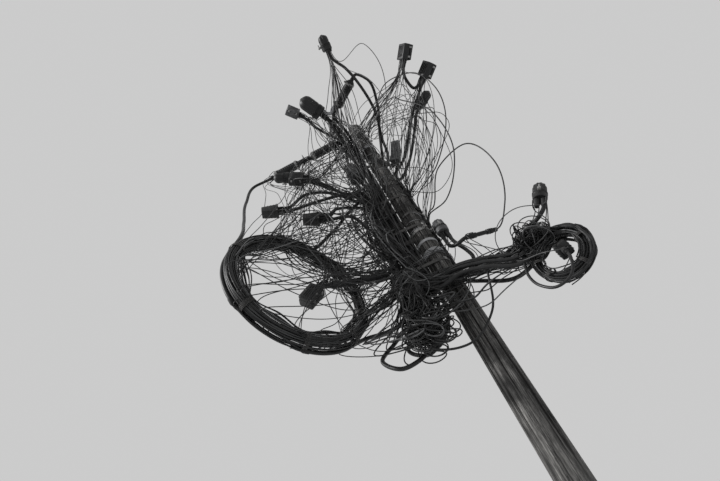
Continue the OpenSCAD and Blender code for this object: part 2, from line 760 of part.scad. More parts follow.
module hanging_loop() { loop(hanging, drop_wire_r + 2); }

pole_shaft();
top_through_bolt();
upper_through_bolt();
back_strand_clamp();
front_strand_clamp();
hook_band();
guy_hook();
drop_wire_hooks();
dome_bracket();
terminal_bracket();
round_closure_bracket();
bundle_straps();
dome_closure_left();
upright_terminal();
round_closure_right();
front_dome_closure();
front_inline_closure();
front_square_box();
front_oval_closure();
square_boxes_right();
small_closure_right();
strand_inline_closures();
left_box_group();
tapered_boxes_left();
coil_closure();
small_inline_closures();
bundle_foot_box();
side_cluster_box();
side_closure();
side_bar();
dome_cables();
coil_feed_cables();
top_left_cables();
left_closure_cables();
ring_chord_cable();
back_cables();
side_bundle_cables();
strand_cables();
slack_coil();
side_coil();
spring_loop_high();
spring_loop_wide();
spring_loop_low();
hose_loop();
hanging_loop();
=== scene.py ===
"""Looks of a wooden telephone pole with its cables, closures and hardware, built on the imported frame."""

import logging
import math
import random
from collections.abc import Callable
from dataclasses import dataclass, field
from enum import Enum, IntEnum

import bpy
from bpy.types import Material, Mesh, Node, NodeSocket, NodeTree, Object
from mathutils import Matrix, Vector, noise


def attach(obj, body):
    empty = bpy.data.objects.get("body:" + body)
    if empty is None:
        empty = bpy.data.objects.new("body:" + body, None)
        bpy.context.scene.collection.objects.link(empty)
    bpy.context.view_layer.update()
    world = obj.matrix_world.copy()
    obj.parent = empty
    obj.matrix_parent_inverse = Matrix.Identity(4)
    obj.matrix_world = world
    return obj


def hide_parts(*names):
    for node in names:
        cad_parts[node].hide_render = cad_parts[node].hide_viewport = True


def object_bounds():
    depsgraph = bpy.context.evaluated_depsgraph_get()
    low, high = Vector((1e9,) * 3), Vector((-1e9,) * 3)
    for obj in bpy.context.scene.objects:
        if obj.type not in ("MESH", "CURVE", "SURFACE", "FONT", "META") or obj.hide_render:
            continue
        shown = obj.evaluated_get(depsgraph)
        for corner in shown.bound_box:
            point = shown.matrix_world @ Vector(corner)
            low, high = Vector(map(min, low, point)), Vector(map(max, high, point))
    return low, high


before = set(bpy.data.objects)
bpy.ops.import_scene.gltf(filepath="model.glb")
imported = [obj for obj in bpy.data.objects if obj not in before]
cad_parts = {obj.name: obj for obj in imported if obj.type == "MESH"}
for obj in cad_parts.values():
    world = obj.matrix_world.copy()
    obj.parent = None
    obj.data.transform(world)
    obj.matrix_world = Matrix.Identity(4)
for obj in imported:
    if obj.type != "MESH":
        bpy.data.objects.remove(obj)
CAD_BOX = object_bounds()

LOG = logging.getLogger("telephone_pole")

Place = tuple[float, float, float]
Flat = tuple[float, float]
Run = list[Vector]
Feed = NodeSocket | float | bool | str | tuple[float, ...]

POLE_HEIGHT = 7.0
FOOT_RADIUS = 0.112
TOP_RADIUS = 0.078
CABLE_RADIUS = 0.0157
FULL_TURN = 2 * math.pi
FLIP = Matrix.Rotation(math.pi, 4, "X")

# Heights of the knots of a cable that is strapped in the bundle or at the pole's side, in millimetres
BUNDLE_DOWN = (5350, 5270, 4220, 4140)
BUNDLE_UP = BUNDLE_DOWN[::-1]
POLE_DOWN = (5680, 5600, 4380, 4300)


def pole_radius(height: float) -> float:
    """Radius of the pole at a height above the ground, in metres."""
    return FOOT_RADIUS - (FOOT_RADIUS - TOP_RADIUS) * height / POLE_HEIGHT


def from_top(x: float, y: float, drop: float) -> Vector:
    """A place in metres from millimetres that are measured from the middle of the pole's top."""
    return Vector((x, y, drop)) / 1000 + Vector((0, 0, POLE_HEIGHT))


def polar(radius: float, angle: float, height: float = 0.0) -> Vector:
    """A place by its distance from the upright axis, its angle in radians and its height."""
    return Vector((radius * math.cos(angle), radius * math.sin(angle), height))


def up(height: float) -> Vector:
    """A move straight up."""
    return Vector((0, 0, height))


def moved(place: Matrix, x: float, y: float, z: float) -> Matrix:
    """A frame that stands off another one."""
    return place @ Matrix.Translation((x, y, z))


def ease(t: float) -> float:
    """A share from 0 to 1 that starts and ends softly."""
    return t * t * (3 - 2 * t)


def apart(a: float, b: float) -> float:
    """How far one direction is turned from another, from -180 to 180 degrees."""
    return (a - b + 180) % 360 - 180


def free_of_ties(angle: float, ties: tuple[float, ...], width: float) -> float:
    """How free a turn of a coil is at an angle, from 0 at a tie to 1 away from all ties."""
    near = min(abs(apart(angle, tie)) for tie in ties)
    return 1 - math.exp(-(near / width) ** 2)


def profile(radius: float, height: float, steps: list[Flat]) -> list[Flat]:
    """Rings of a turned shape, from steps out of a radius and up from a height."""
    return [(radius + out, height + rise) for out, rise in steps]


def linked(name: str, data: bpy.types.ID) -> Object:
    """A new object of the scene.

    Args:
        name: its name.
        data: its mesh, lamp or camera.

    Returns:
        The object.
    """
    thing = bpy.data.objects.new(name, data)
    bpy.context.scene.collection.objects.link(thing)
    return thing


def tenths(a: Place, b: Place) -> Place:
    """The sum of two places in millimetres, with the construction's six digits, rounded to tenths."""
    return tuple(round(float(f"{m + n:.6g}"), 1) for m, n in zip(a, b))


@dataclass(frozen=True)
class Seat:
    """Where a closure hangs, in the numbers of the construction: millimetres and degrees."""

    place: Place
    turn: Place
    half: float
    gap: float

    def matrix(self) -> Matrix:
        """The closure's own frame, with its mouth at its lower end."""
        x, y, z = (Matrix.Rotation(math.radians(turn), 4, axis) for turn, axis in zip(self.turn, "XYZ"))
        return Matrix.Translation(from_top(*self.place)) @ (z @ y @ x)

    def mouths(self, both_ends: bool = False) -> list[Matrix]:
        """A frame at each mouth, with +Z out of it.

        Args:
            both_ends: whether the upper end has a mouth too.

        Returns:
            The frames.
        """
        place, half = self.matrix(), self.half / 1000
        sides = (-1, 1) if self.gap > 0 else (0,)
        found = [moved(place, s * self.gap / 1000, 0, -half) @ FLIP for s in sides]
        if both_ends:
            found.append(moved(place, 0, 0, half))
        return found

    def axis(self, side: int, out: float, far: bool) -> Place:
        """A place on the axis of a mouth.

        Args:
            side: -1 or 1 for one of two mouths, 0 for a single one.
            out: how far out of the mouth it is, in millimetres.
            far: whether the mouth is at the upper end.

        Returns:
            The place in millimetres, rounded to tenths.
        """
        x, z = side * self.gap, (self.half + out) * (1 if far else -1)
        lean, turn = math.radians(self.turn[1]), math.radians(self.turn[2])
        flat = x * math.cos(lean) + z * math.sin(lean)
        rise = z * math.cos(lean) - x * math.sin(lean) + 1000 * POLE_HEIGHT
        return tenths(self.place, (flat * math.cos(turn), flat * math.sin(turn), rise))


SEATS: dict[str, Seat] = {
    "dome_left": Seat((-270, -30, -970), (0, 0, 0), 140, 26),
    "upright": Seat((252, -10, -890), (0, 19, 0), 190, 24),
    "round_right": Seat((172, -40, -2360), (0, 0, 0), 85, 24),
    "front_dome": Seat((-400, -640, -260), (0, 66, -124), 140, 26),
    "front_inline": Seat((0, -640, -330), (0, 90, -40), 170, 0),
    "front_square": Seat((-620, -620, -140), (0, 77, -135), 75, 26),
    "front_oval": Seat((20, -1180, -120), (0, 60, -90), 85, 24),
    "square_high": Seat((670, -1000, -840), (0, 70, -56), 75, 26),
    "square_low": Seat((800, -800, -990), (0, 80, -45), 75, 26),
    "small_right": Seat((770, -400, -750), (0, 70, -27), 85, 24),
    "strand_near": Seat((-480, -200, -520), (0, 90, 176), 170, 0),
    "strand_far": Seat((-960, -166, -520), (0, 90, 176), 170, 0),
    "group_box": Seat((-860, -330, -1080), (0, 75, 201), 75, 26),
    "group_dome": Seat((-1010, -330, -930), (0, 80, 198), 85, 24),
    "tapered_far": Seat((-1190, -400, -1560), (0, 85, 198), 80, 26),
    "tapered_near": Seat((-850, -290, -1800), (0, 80, 199), 80, 26),
    "ring_box": Seat((-1010, -400, -2860), (0, 135, 196), 85, 0),
    "foot_box": Seat((-330, -170, -2980), (0, 0, 0), 110, 26),
    "cluster_box": Seat((715, -325, -3370), (0, 44, 66), 55, 0),
    "side_dome": Seat((830, -460, -2920), (0, 30, 0), 85, 24),
    "small_inline_near": Seat((-560, -220, -2760), (0, 92, 200), 75, 0),
    "small_inline_far": Seat((-780, -310, -2775), (0, 92, 203), 75, 0),
    "bar": Seat((400, -130, -2730), (0, 82, 20), 80, 0),
}


@dataclass(frozen=True)
class Ring:
    """The upright ring that a coil is wound on."""

    middle: Place
    turn: float
    radius: float
    cable_gap: float

    def locate(self, point: Vector) -> Place:
        """Where a point lies beside the ring.

        Args:
            point: the point.

        Returns:
            Angle round the ring, distance from its middle line and angle round the bundle.
        """
        t = math.radians(self.turn)
        away = point - from_top(*self.middle)
        flat = away.dot(polar(1, t))
        side = away.dot(Vector((math.sin(t), -math.cos(t), 0)))
        reach = math.hypot(flat, away.z) - self.radius
        return (math.degrees(math.atan2(away.z, flat)), math.hypot(reach, side),
                math.degrees(math.atan2(side, reach)))

    def spot(self, angle: float, out: float, about: float) -> Vector:
        """A point beside the ring's middle line.

        Args:
            angle: round the ring, in degrees.
            out: distance from the middle line, in metres.
            about: round the bundle of turns, in degrees; 0 is outwards.

        Returns:
            The point.
        """
        a, t, r = math.radians(angle), math.radians(self.turn), math.radians(about)
        way = polar(math.cos(a), t, math.sin(a))
        axis = Vector((math.sin(t), -math.cos(t), 0))
        return from_top(*self.middle) + way * (self.radius + out * math.cos(r)) + axis * (out * math.sin(r))

    def laid(self, start: float, end: float, about: float) -> list[Place]:
        """Knots of a heavy cable that lies along the coil.

        Args:
            start: where it comes on, round the ring, in degrees.
            end: where it stops.
            about: round the bundle of turns, in degrees.

        Returns:
            Seven knots in millimetres, rounded to tenths.
        """
        t, r = math.radians(self.turn), math.radians(about)
        reach, side = 1000 * self.radius + self.cable_gap * math.cos(r), self.cable_gap * math.sin(r)
        found = []
        for i in range(7):
            a = math.radians(start + (end - start) * i / 6)
            flat, rise = reach * math.cos(a), reach * math.sin(a) + 1000 * POLE_HEIGHT
            spot = (flat * math.cos(t) + side * math.sin(t), flat * math.sin(t) - side * math.cos(t), rise)
            found.append(tenths(self.middle, spot))
        return found


SLACK_RING = Ring((-1080, -420, -2740), 50, 0.550, 64.5)
SIDE_RING = Ring((690, -310, -3390), -24, 0.165, 48.5)

# Depth of a mouth, and how far out of it a cable still goes straight, in millimetres
MOUTH_KNOTS = (-25.7, 4)
LEAD = 70


def leads(name: str, side: int, lead: float = LEAD, far: bool = False) -> list[Place]:
    """Knots of a cable from inside a mouth of a closure straight out of it, in millimetres."""
    return [SEATS[name].axis(side, out, far) for out in (*MOUTH_KNOTS, lead)]


def lane(x: float, y: float, heights: tuple[float, ...]) -> list[Place]:
    """Knots straight above each other, in millimetres."""
    return [(x, y, z) for z in heights]


# The cables' points, in millimetres, the same as those of the construction
ROUTES: dict[str, list[Place]] = {
    "dome_to_foot": [
        *leads("dome_left", 1), (-226.9, -38, 5600), *lane(-226.9, -38, BUNDLE_DOWN), (-252, -58, 3930),
        (-274, -62, 3840), (-293, -115, 3784), *leads("foot_box", 1)[::-1],
    ],
    "dome_to_coil": [
        *leads("dome_left", -1), (-264.9, -38, 5600), *lane(-264.9, -38, BUNDLE_DOWN), (-310, -25, 3990),
        (-430, 30, 3920), (-610, 60, 3910), (-770, 30, 3910), *SLACK_RING.laid(-52, -94, -50),
    ],
    "coil_to_foot": [
        *SLACK_RING.laid(118, 76, -50), (-700, -180, 5040), (-480, -120, 5300), (-325, -86, 5410),
        *lane(-264.9, -76, BUNDLE_DOWN), (-298, -78, 3940), (-330, -80, 3850), (-348, -125, 3792),
        *leads("foot_box", -1)[::-1],
    ],
    "dome_one_to_side": [
        *leads("front_dome", -1), (-190, -290, 6480), (-151, -90, 6320), (-151, 24, 6160), (-151, 24, 6000),
        (-150.9, -38, 5750), *lane(-150.9, -38, BUNDLE_DOWN), (-135, -110, 4020), (-60, -185, 3980),
        (80, -215, 3955), (260, -240, 3880), (450, -268, 3778), *SIDE_RING.laid(100, 30, 60),
    ],
    "dome_two_to_group": [
        *leads("front_dome", 1), (-240, -280, 6440), (-210, -90, 6310), (-195, 64, 6120), (-195, 64, 5870),
        (-188.9, 0, 5620), *lane(-188.9, 0, BUNDLE_DOWN), (-205, 0, 4000), (-250, -10, 3750),
        (-380, -60, 3520), (-600, -80, 3460), (-720, -20, 3620), (-590, 80, 3800), (-400, 90, 3930),
        (-260, 62, 4010), *lane(-188.9, 38, BUNDLE_UP), (-230, 70, 5570), (-430, 0, 5710),
        (-620, -170, 5850), *leads("group_box", 1)[::-1],
    ],
    "inline_to_side": [
        *leads("front_inline", 0), (-140, -260, 6530), (-113, -90, 6360), (-113, 24, 6200),
        (-113, 24, 6000), (-112.9, -38, 5750), *lane(-112.9, -38, BUNDLE_DOWN), (-100, -90, 4070),
        (-40, -150, 4040), (90, -190, 4010), (270, -220, 3940), (460, -248, 3835),
        *SIDE_RING.laid(92, 22, 0),
    ],
    "square_to_dome": [
        *leads("front_square", 1), (-440, -400, 6680), (-250, -200, 6540), (-125, -60, 6440),
        (-113, 62, 6260), (-113, 62, 6000), (-112.9, 38, 5800), *lane(-112.9, 38, BUNDLE_DOWN),
        (-115, 55, 3950), (-200, 60, 3700), (-400, 70, 3580), (-520, 120, 3720), (-390, 125, 3850),
        (-220, 95, 3870), (-155, 80, 3980), *lane(-150.9, 76, BUNDLE_UP), (-170, 90, 5550),
        (-300, 90, 5710), (-480, 20, 5850), (-700, -130, 5990), *leads("group_dome", 1)[::-1],
    ],
    "tapered_near_to_ring": [
        *leads("tapered_near", 1), (-520, -200, 5120), (-400, -160, 4850), (-350, -130, 4550),
        (-360, -142, 4340), *leads("small_inline_near", 0)[::-1],
    ],
    "tapered_far_to_side": [
        *leads("tapered_far", 1), (-800, -270, 5470), (-500, -160, 5550), (-300, -100, 5515),
        *lane(-226.9, -76, BUNDLE_DOWN), (-220, -95, 4010), (-120, -190, 3880), (60, -230, 3890),
        (250, -262, 3810), (430, -280, 3700), *SIDE_RING.laid(112, 48, 120),
    ],
    "between_small_inlines": [
        *leads("small_inline_near", 0, 30, far=True), *leads("small_inline_far", 0, 30)[::-1],
    ],
    "small_inline_to_ring": [
        *leads("small_inline_far", 0, 28, far=True), *leads("ring_box", 0, 32)[::-1],
    ],
    "upright_to_round": [
        *leads("upright", 1), *lane(109.7, 23.3, POLE_DOWN), (122, 17, 4140), (160, -12, 4058),
        (212, -48, 4052), (248, -70, 4120), (240, -64, 4240), (206, -44, 4380),
        *leads("round_right", 1)[::-1],
    ],
    "bar_to_round": [
        *leads("bar", 0), (190, -160, 4245), (150, -90, 4320), *leads("round_right", -1)[::-1],
    ],
    "small_to_side": [
        *leads("small_right", 1), (510, -230, 6000), (300, 10, 5820), (165, 85, 5730),
        *lane(95.1, 59.4, POLE_DOWN), (150, 70, 4120), (330, -60, 3990), (580, -330, 3890),
        *leads("side_dome", 1)[::-1],
    ],
    "inline_to_side_coil": [
        *leads("front_inline", 0, far=True), (290, -720, 6620), (300, -420, 6530), (200, -130, 6430),
        (130, 60, 6300), (69, 88.3, 6050), *lane(69, 88.3, POLE_DOWN), (110, 90, 4120), (220, -20, 3910),
        (420, -150, 3710), *SIDE_RING.laid(116, 56, -90),
    ],
    "square_low_to_near": [
        *leads("square_low", 1), (560, -520, 5940), (400, -150, 5990), (290, 70, 6010), (150, 150, 5960),
        (60, 150, 5880), (34.6, 106.6, 5740), *lane(34.6, 106.6, POLE_DOWN), (20, 125, 4100),
        (-60, 150, 3960), (-190, 145, 3940), (-262, 100, 4030), *lane(-264.9, 76, BUNDLE_UP),
        (-298, 48, 5400), (-450, -60, 5410), (-600, -170, 5350), *leads("tapered_near", -1)[::-1],
    ],
    "oval_to_far": [
        *leads("front_oval", 1), (120, -900, 6670), (190, -700, 6520), (230, -420, 6400), (190, -110, 6310),
        (170, 70, 6200), (100, 135, 6120), (0, 126, 6020), (-3.9, 112, 5900), *lane(-3.9, 112, POLE_DOWN),
        (-20, 120, 4160), (-80, 128, 4070), (-170, 120, 4040), (-222, 95, 4080),
        *lane(-226.9, 76, BUNDLE_UP), (-262, 60, 5440), (-400, -20, 5560), (-600, -170, 5660),
        (-830, -310, 5600), *leads("tapered_far", -1)[::-1],
    ],
    "between_squares": [
        *leads("square_high", 1), (600, -740, 6120), (640, -660, 6040), *leads("square_low", -1)[::-1],
    ],
    "bundle_to_strand": [
        *SIDE_RING.laid(20, 90, -45), (480, -190, 3820), (270, -170, 3890), (80, -160, 3930),
        (-90, -130, 3940), (-160, 0, 4010), *lane(-150.9, 38, BUNDLE_UP), (-150.9, 38, 5800),
        (-151, 62, 6000), (-151, 62, 6140), (-151, 30, 6280), (-165, -60, 6390), (-200, -170, 6460),
        *leads("strand_near", 0)[::-1],
    ],
    "between_strand_closures": [
        *leads("strand_near", 0, far=True), *leads("strand_far", 0)[::-1],
    ],
    "strand_to_coil": [
        *leads("strand_far", 0, far=True), (-1360, -200, 6380), (-1460, -280, 6000), (-1440, -470, 5350),
        (-1395, -695, 4810), *SLACK_RING.laid(158, 206, -50),
    ],
    "spring_high": [
        (98, -35, 6610.7), (88, -57, 6611), (122, -118, 6632), (300, -240, 6810), (520, -420, 6940),
        (800, -520, 6740), (900, -500, 6240), (780, -380, 5700), (470, -180, 5320), (135, -20, 5100),
    ],
    "spring_wide": [
        (-19, -102, 6609.8), (3, -104, 6610.4), (150, -200, 6630), (330, -330, 6615), (470, -470, 6440),
        (480, -560, 6140), (620, -600, 5500), (560, -420, 5000), (330, -160, 4800), (140, -10, 4850),
    ],
    "spring_low": [
        (475.5, -102.5, 4281.3), (560, -75, 4300), (690, -200, 4400), (800, -380, 4700), (700, -420, 5100),
        (420, -300, 5100), (200, -120, 4820),
    ],
    "hose": [
        (706.5, -344, 3608.4), (698.3, -362.4, 3587.6), (685.3, -391.6, 3554.5), (655, -440, 3450),
        (590, -425, 3345), (490, -375, 3340), (425, -325, 3440), (420, -292, 3570), (455, -284, 3683.2),
    ],
    "hanging": [
        (-380, -233.5, 3960), (-440, -240, 3700), (-360, -180, 3440), (-120, -180, 3360), (100, -200, 3500),
        (230, -230, 3800),
    ],
}

NODE_ROUTES: dict[str, tuple[str, ...]] = {
    "dome_cables": ("dome_to_foot", "dome_to_coil"),
    "coil_feed_cables": ("coil_to_foot",),
    "top_left_cables": ("dome_one_to_side", "dome_two_to_group", "inline_to_side", "square_to_dome"),
    "left_closure_cables": ("tapered_near_to_ring", "tapered_far_to_side"),
    "ring_chord_cable": ("between_small_inlines", "small_inline_to_ring"),
    "back_cables": ("upright_to_round", "small_to_side", "inline_to_side_coil", "oval_to_far"),
    "side_bundle_cables": ("square_low_to_near", "between_squares", "bar_to_round"),
    "strand_cables": ("bundle_to_strand", "between_strand_closures", "strand_to_coil"),
}


@dataclass(frozen=True)
class Course:
    """A smooth curve through given points in metres, the same curve as the construction's."""

    knots: Run

    @classmethod
    def named(cls, name: str) -> "Course":
        """The course of one of the cables of the construction."""
        return cls([Vector(p) / 1000 for p in ROUTES[name]])

    @staticmethod
    def _slope(a: Vector, b: Vector, c: Vector) -> Vector:
        """The direction at b of a curve through a, b and c, weighed by how near they are."""
        near, far = max((b - a).length, 1e-6), max((c - b).length, 1e-6)
        return ((b - a) * far / near + (c - b) * near / far) / (near + far)

    def points(self, step: float = 0.02, least: int = 2) -> Run:
        """Points along the curve.

        Args:
            step: about how far apart they are, in metres.
            least: how many there are at least for each stretch between two knots.

        Returns:
            The points, with both ends.
        """
        p = self.knots
        ends = [2 * p[0] - p[1], *p, 2 * p[-1] - p[-2]]
        found: Run = []
        for i in range(1, len(ends) - 2):
            a, b, c, d = ends[i - 1:i + 3]
            size = (c - b).length
            m, n = self._slope(a, b, c) * size, self._slope(b, c, d) * size
            count = max(least, math.ceil(size / step))
            for s in range(count):
                t = s / count
                cube, square = t ** 3, t ** 2
                found.append(
                    (2 * cube - 3 * square + 1) * b + (cube - 2 * square + t) * m
                    + (3 * square - 2 * cube) * c + (cube - square) * n
                )
        found.append(p[-1].copy())
        return found


def bend_radius(a: Vector, b: Vector, c: Vector) -> float:
    """Radius of the circle through three points, in metres."""
    area = (b - a).cross(c - a).length / 2
    return (a - b).length * (b - c).length * (c - a).length / (4 * area) if area > 1e-9 else math.inf


def eased(points: Run, least: float, passes: int = 60) -> Run:
    """A run of points with its tight bends rounded and both ends kept.

    Args:
        points: the run, with even steps.
        least: the radius that a bend has at least, in metres.
        passes: how often the points of tight bends move towards their neighbours' middle at most.

    Returns:
        The new points.
    """
    run = [p.copy() for p in points]
    for _ in range(passes):
        tight = [i for i in range(1, len(run) - 1) if bend_radius(*run[i - 1:i + 2]) < least]
        old = [p.copy() for p in run]
        for j in {j for i in tight for j in (i - 1, i, i + 1) if 0 < j < len(run) - 1}:
            run[j] = old[j].lerp((old[j - 1] + old[j + 1]) / 2, 0.3)
    return run


class Nodes:
    """A node tree that is built in the script."""

    def __init__(self, tree: NodeTree) -> None:
        """Takes a tree and empties it."""
        self.tree = tree
        tree.nodes.clear()

    def feed(self, value: Feed, socket: NodeSocket) -> None:
        """Links an output to an input, or sets the input to a constant.

        Args:
            value: the output or the constant.
            socket: the input.
        """
        if isinstance(value, NodeSocket):
            self.tree.links.new(value, socket)
        else:
            socket.default_value = value

    def add(self, kind: str, values: dict[str | int, Feed] | None = None, **settings: str) -> Node:
        """A new node.

        Args:
            kind: the name of its type.
            values: what its inputs get, by name or number.
            settings: its own properties.

        Returns:
            The node.
        """
        node = self.tree.nodes.new(kind)
        for key, setting in settings.items():
            setattr(node, key, setting)
        for label, value in (values or {}).items():
            self.feed(value, node.inputs[label])
        return node


class Recipe(Nodes):
    """A new material, with the steps that the finishes share."""

    def __init__(self, name: str) -> None:
        """Starts a material of that name.

        Args:
            name: the material's name.
        """
        self.material = bpy.data.materials.new(name)
        self.material.use_nodes = True
        super().__init__(self.material.node_tree)
        self.shader = self.add("ShaderNodeBsdfPrincipled")
        self.add("ShaderNodeOutputMaterial", {"Surface": self.shader.outputs["BSDF"]})

    def place(self, stretch: float = 1.0) -> NodeSocket:
        """Object coordinates.

        Args:
            stretch: below 1, it draws a pattern out along the height.

        Returns:
            The coordinates.
        """
        where = self.add("ShaderNodeTexCoord").outputs["Object"]
        node = self.add("ShaderNodeMapping", {"Vector": where, "Scale": (1.0, 1.0, stretch)})
        return node.outputs["Vector"]

    def grain(self, place: NodeSocket, scale: float, detail: float, rough: float) -> NodeSocket:
        """A noise pattern at a place."""
        values = {"Vector": place, "Scale": scale, "Detail": detail, "Roughness": rough}
        return self.add("ShaderNodeTexNoise", values).outputs["Fac"]

    def ramp(self, value: NodeSocket, stops: list[Flat], tint: Place = (1.0, 1.0, 1.0)) -> NodeSocket:
        """A grey for each value.

        Args:
            value: the pattern.
            stops: value and brightness of each stop.
            tint: what the greys are multiplied by.

        Returns:
            The colour.
        """
        node = self.add("ShaderNodeValToRGB", {"Fac": value})
        ramp = node.color_ramp
        while len(ramp.elements) < len(stops):
            ramp.elements.new(0.5)
        for element, (position, grey) in zip(ramp.elements, stops):
            element.position = position
            element.color = (*(grey * part for part in tint), 1.0)
        return node.outputs["Color"]

    def mix(self, kind: str, share: Feed, a: NodeSocket, b: Feed) -> NodeSocket:
        """Two colours mixed by a blend kind."""
        values = {"Factor": share, "A": a, "B": b}
        return self.add("ShaderNodeMix", values, data_type="RGBA", blend_type=kind).outputs["Result"]

    def darken(self, colour: NodeSocket, layer: NodeSocket, share: float = 1.0) -> NodeSocket:
        """A colour multiplied by a share of a layer."""
        return self.mix("MULTIPLY", share, colour, layer)

    def height_of(self, vector: NodeSocket) -> NodeSocket:
        """The upright part of a vector."""
        return self.add("ShaderNodeSeparateXYZ", {"Vector": vector}).outputs["Z"]

    def upward(self, low: float, high: float) -> NodeSocket:
        """How far a surface faces up.

        Args:
            low: the upright part of its normal that gives 0.
            high: the part that gives 1.

        Returns:
            The share.
        """
        rise = self.height_of(self.add("ShaderNodeNewGeometry").outputs["Normal"])
        node = self.add("ShaderNodeMapRange", {"Value": rise, "From Min": low, "From Max": high})
        return node.outputs["Result"]

    def attribute(self, name: str) -> NodeSocket:
        """A number that the mesh carries."""
        return self.add("ShaderNodeAttribute", attribute_name=name).outputs["Fac"]

    def surface(
        self, values: dict[str, Feed], height: NodeSocket, strength: float, distance: float
    ) -> Material:
        """Gives the shader its colour, gloss and bump.

        Args:
            values: what the shader's inputs get, by name.
            height: the pattern of the bump.
            strength: the bump's strength.
            distance: the bump's depth, in metres.

        Returns:
            The finished material.
        """
        relief = {"Height": height, "Strength": strength, "Distance": distance}
        normal = self.add("ShaderNodeBump", relief).outputs["Normal"]
        for label, value in {**values, "Normal": normal}.items():
            self.feed(value, self.shader.inputs[label])
        return self.material


@dataclass(frozen=True)
class WeatheredWood:
    """Bare grey wood with streaks along the grain, drying cracks darkened with painted shade, and stains."""

    streaks: float = 150.0
    bands: float = 26.0
    roughness: float = 0.85

    def material(self) -> Material:
        """Builds the finish.

        Returns:
            Its material.
        """
        made = Recipe("weathered_wood")
        fine = made.grain(made.place(0.022), self.streaks, 8.0, 0.7)
        broad = made.grain(made.place(0.10), self.bands, 3.0, 0.5)
        stain = made.grain(made.place(), 3.4, 5.0, 0.6)
        fibre = made.grain(made.place(0.045), 620.0, 4.0, 0.6)
        split = made.grain(made.place(0.012), 64.0, 5.0, 0.62)
        colour = made.ramp(
            fine, [(0.30, 0.020), (0.43, 0.095), (0.54, 0.205), (0.70, 0.40)], (1.0, 0.965, 0.92)
        )
        shade = made.ramp(broad, [(0.35, 0.34), (0.5, 0.82), (0.64, 1.0)])
        patch = made.ramp(stain, [(0.34, 0.42), (0.5, 0.90), (0.64, 1.0)])
        fibres = made.ramp(fibre, [(0.34, 0.50), (0.5, 1.0), (0.66, 1.45)])
        # Thin crack lines, cut into the bump and darkened to near black as painted shade inside them.
        checks = made.ramp(split, [(0.0, 1.0), (0.478, 1.0), (0.494, 0.06), (0.506, 0.06), (0.522, 1.0)])
        for layer, share in ((shade, 1.0), (patch, 0.8), (fibres, 1.0), (checks, 0.85)):
            colour = made.darken(colour, layer, share)
        colour = self._damp(made, self._knots(made, colour))
        colour = made.mix("MIX", made.upward(0.75, 0.95), colour, self._rings(made, patch))
        # Painted shade: the wood is drawn near black where the mesh is cut into a crack, the deeper the
        # darker.
        colour = made.mix("MIX", made.attribute("crack_shade"), colour, (0.012, 0.011, 0.010, 1.0))
        relief = made.darken(made.darken(fine, checks), fibres, 0.5)
        gloss = {"Roughness": self.roughness, "Specular IOR Level": 0.25}
        return made.surface({"Base Color": colour, **gloss}, relief, 0.85, 0.005)

    @staticmethod
    def _rings(made: Recipe, patch: NodeSocket) -> NodeSocket:
        """Grey end grain with the year rings, for the sawn top.

        Args:
            made: the recipe.
            patch: the stains that lie over it.

        Returns:
            The colour.
        """
        waves = made.add(
            "ShaderNodeTexWave",
            {"Vector": made.place(), "Scale": 62.0, "Distortion": 2.4, "Detail": 4.0, "Detail Scale": 2.0},
            wave_type="RINGS", rings_direction="Z",
        )
        rings = made.ramp(waves.outputs["Fac"], [(0.0, 0.05), (0.55, 0.12), (1.0, 0.21)], (1.0, 0.97, 0.93))
        return made.darken(rings, patch)

    @staticmethod
    def _damp(made: Recipe, colour: NodeSocket) -> NodeSocket:
        """Darker wood for the lowest half metre, where the ground keeps it damp."""
        shade = made.ramp(made.height_of(made.place(1.6)), [(0.0, 0.42), (0.30, 0.62), (0.9, 1.0)])
        return made.darken(colour, shade)

    @staticmethod
    def _knots(made: Recipe, colour: NodeSocket) -> NodeSocket:
        """Small dark knots, a few to each metre, drawn out along the grain.

        Args:
            made: the recipe.
            colour: the wood's colour.

        Returns:
            The colour with the knots.
        """
        cells = made.add("ShaderNodeTexVoronoi", {"Vector": made.place(0.55), "Scale": 5.2})
        stops = [(0.0, 0.10), (0.055, 0.14), (0.075, 0.75), (0.10, 0.45), (0.14, 1.0)]
        return made.darken(colour, made.ramp(cells.outputs["Distance"], stops), 0.9)


@dataclass(frozen=True)
class ZincSteel:
    """Hot dipped steel, dull and blotched, with rust where water stands."""

    grey: float = 0.33
    roughness: float = 0.5

    def material(self) -> Material:
        """Builds the finish.

        Returns:
            Its material.
        """
        made = Recipe("zinc_steel")
        spangle = made.add("ShaderNodeTexVoronoi", {"Vector": made.place(), "Scale": 170.0})
        flakes = [(0.1, 0.8 * self.grey), (0.9, 1.25 * self.grey)]
        flake = made.ramp(spangle.outputs["Color"], flakes, (0.98, 1.0, 1.02))
        grime = made.grain(made.place(0.3), 42.0, 6.0, 0.65)
        dirt = made.ramp(grime, [(0.36, 0.42), (0.52, 0.95), (0.7, 1.1)], (1.0, 0.97, 0.93))
        rough = made.ramp(grime, [(0.3, self.roughness + 0.2), (0.7, self.roughness - 0.1)])
        values = {"Base Color": made.darken(flake, dirt), "Roughness": rough, "Metallic": 0.65}
        return made.surface(values, grime, 0.25, 0.001)


@dataclass(frozen=True)
class StrapSteel:
    """Dull dark banding steel with scuffed edges."""

    grey: float = 0.075

    def material(self) -> Material:
        """Builds the finish.

        Returns:
            Its material.
        """
        made = Recipe("strap_steel")
        scuffs = made.grain(made.place(3.0), 70.0, 6.0, 0.7)
        greys = [(0.3, 0.5 * self.grey), (0.55, self.grey), (0.75, 2.6 * self.grey)]
        rough = made.ramp(scuffs, [(0.3, 0.7), (0.7, 0.45)])
        colour = made.ramp(scuffs, greys, (1.0, 0.97, 0.94))
        values = {"Base Color": colour, "Roughness": rough, "Metallic": 0.5}
        return made.surface(values, scuffs, 0.2, 0.001)


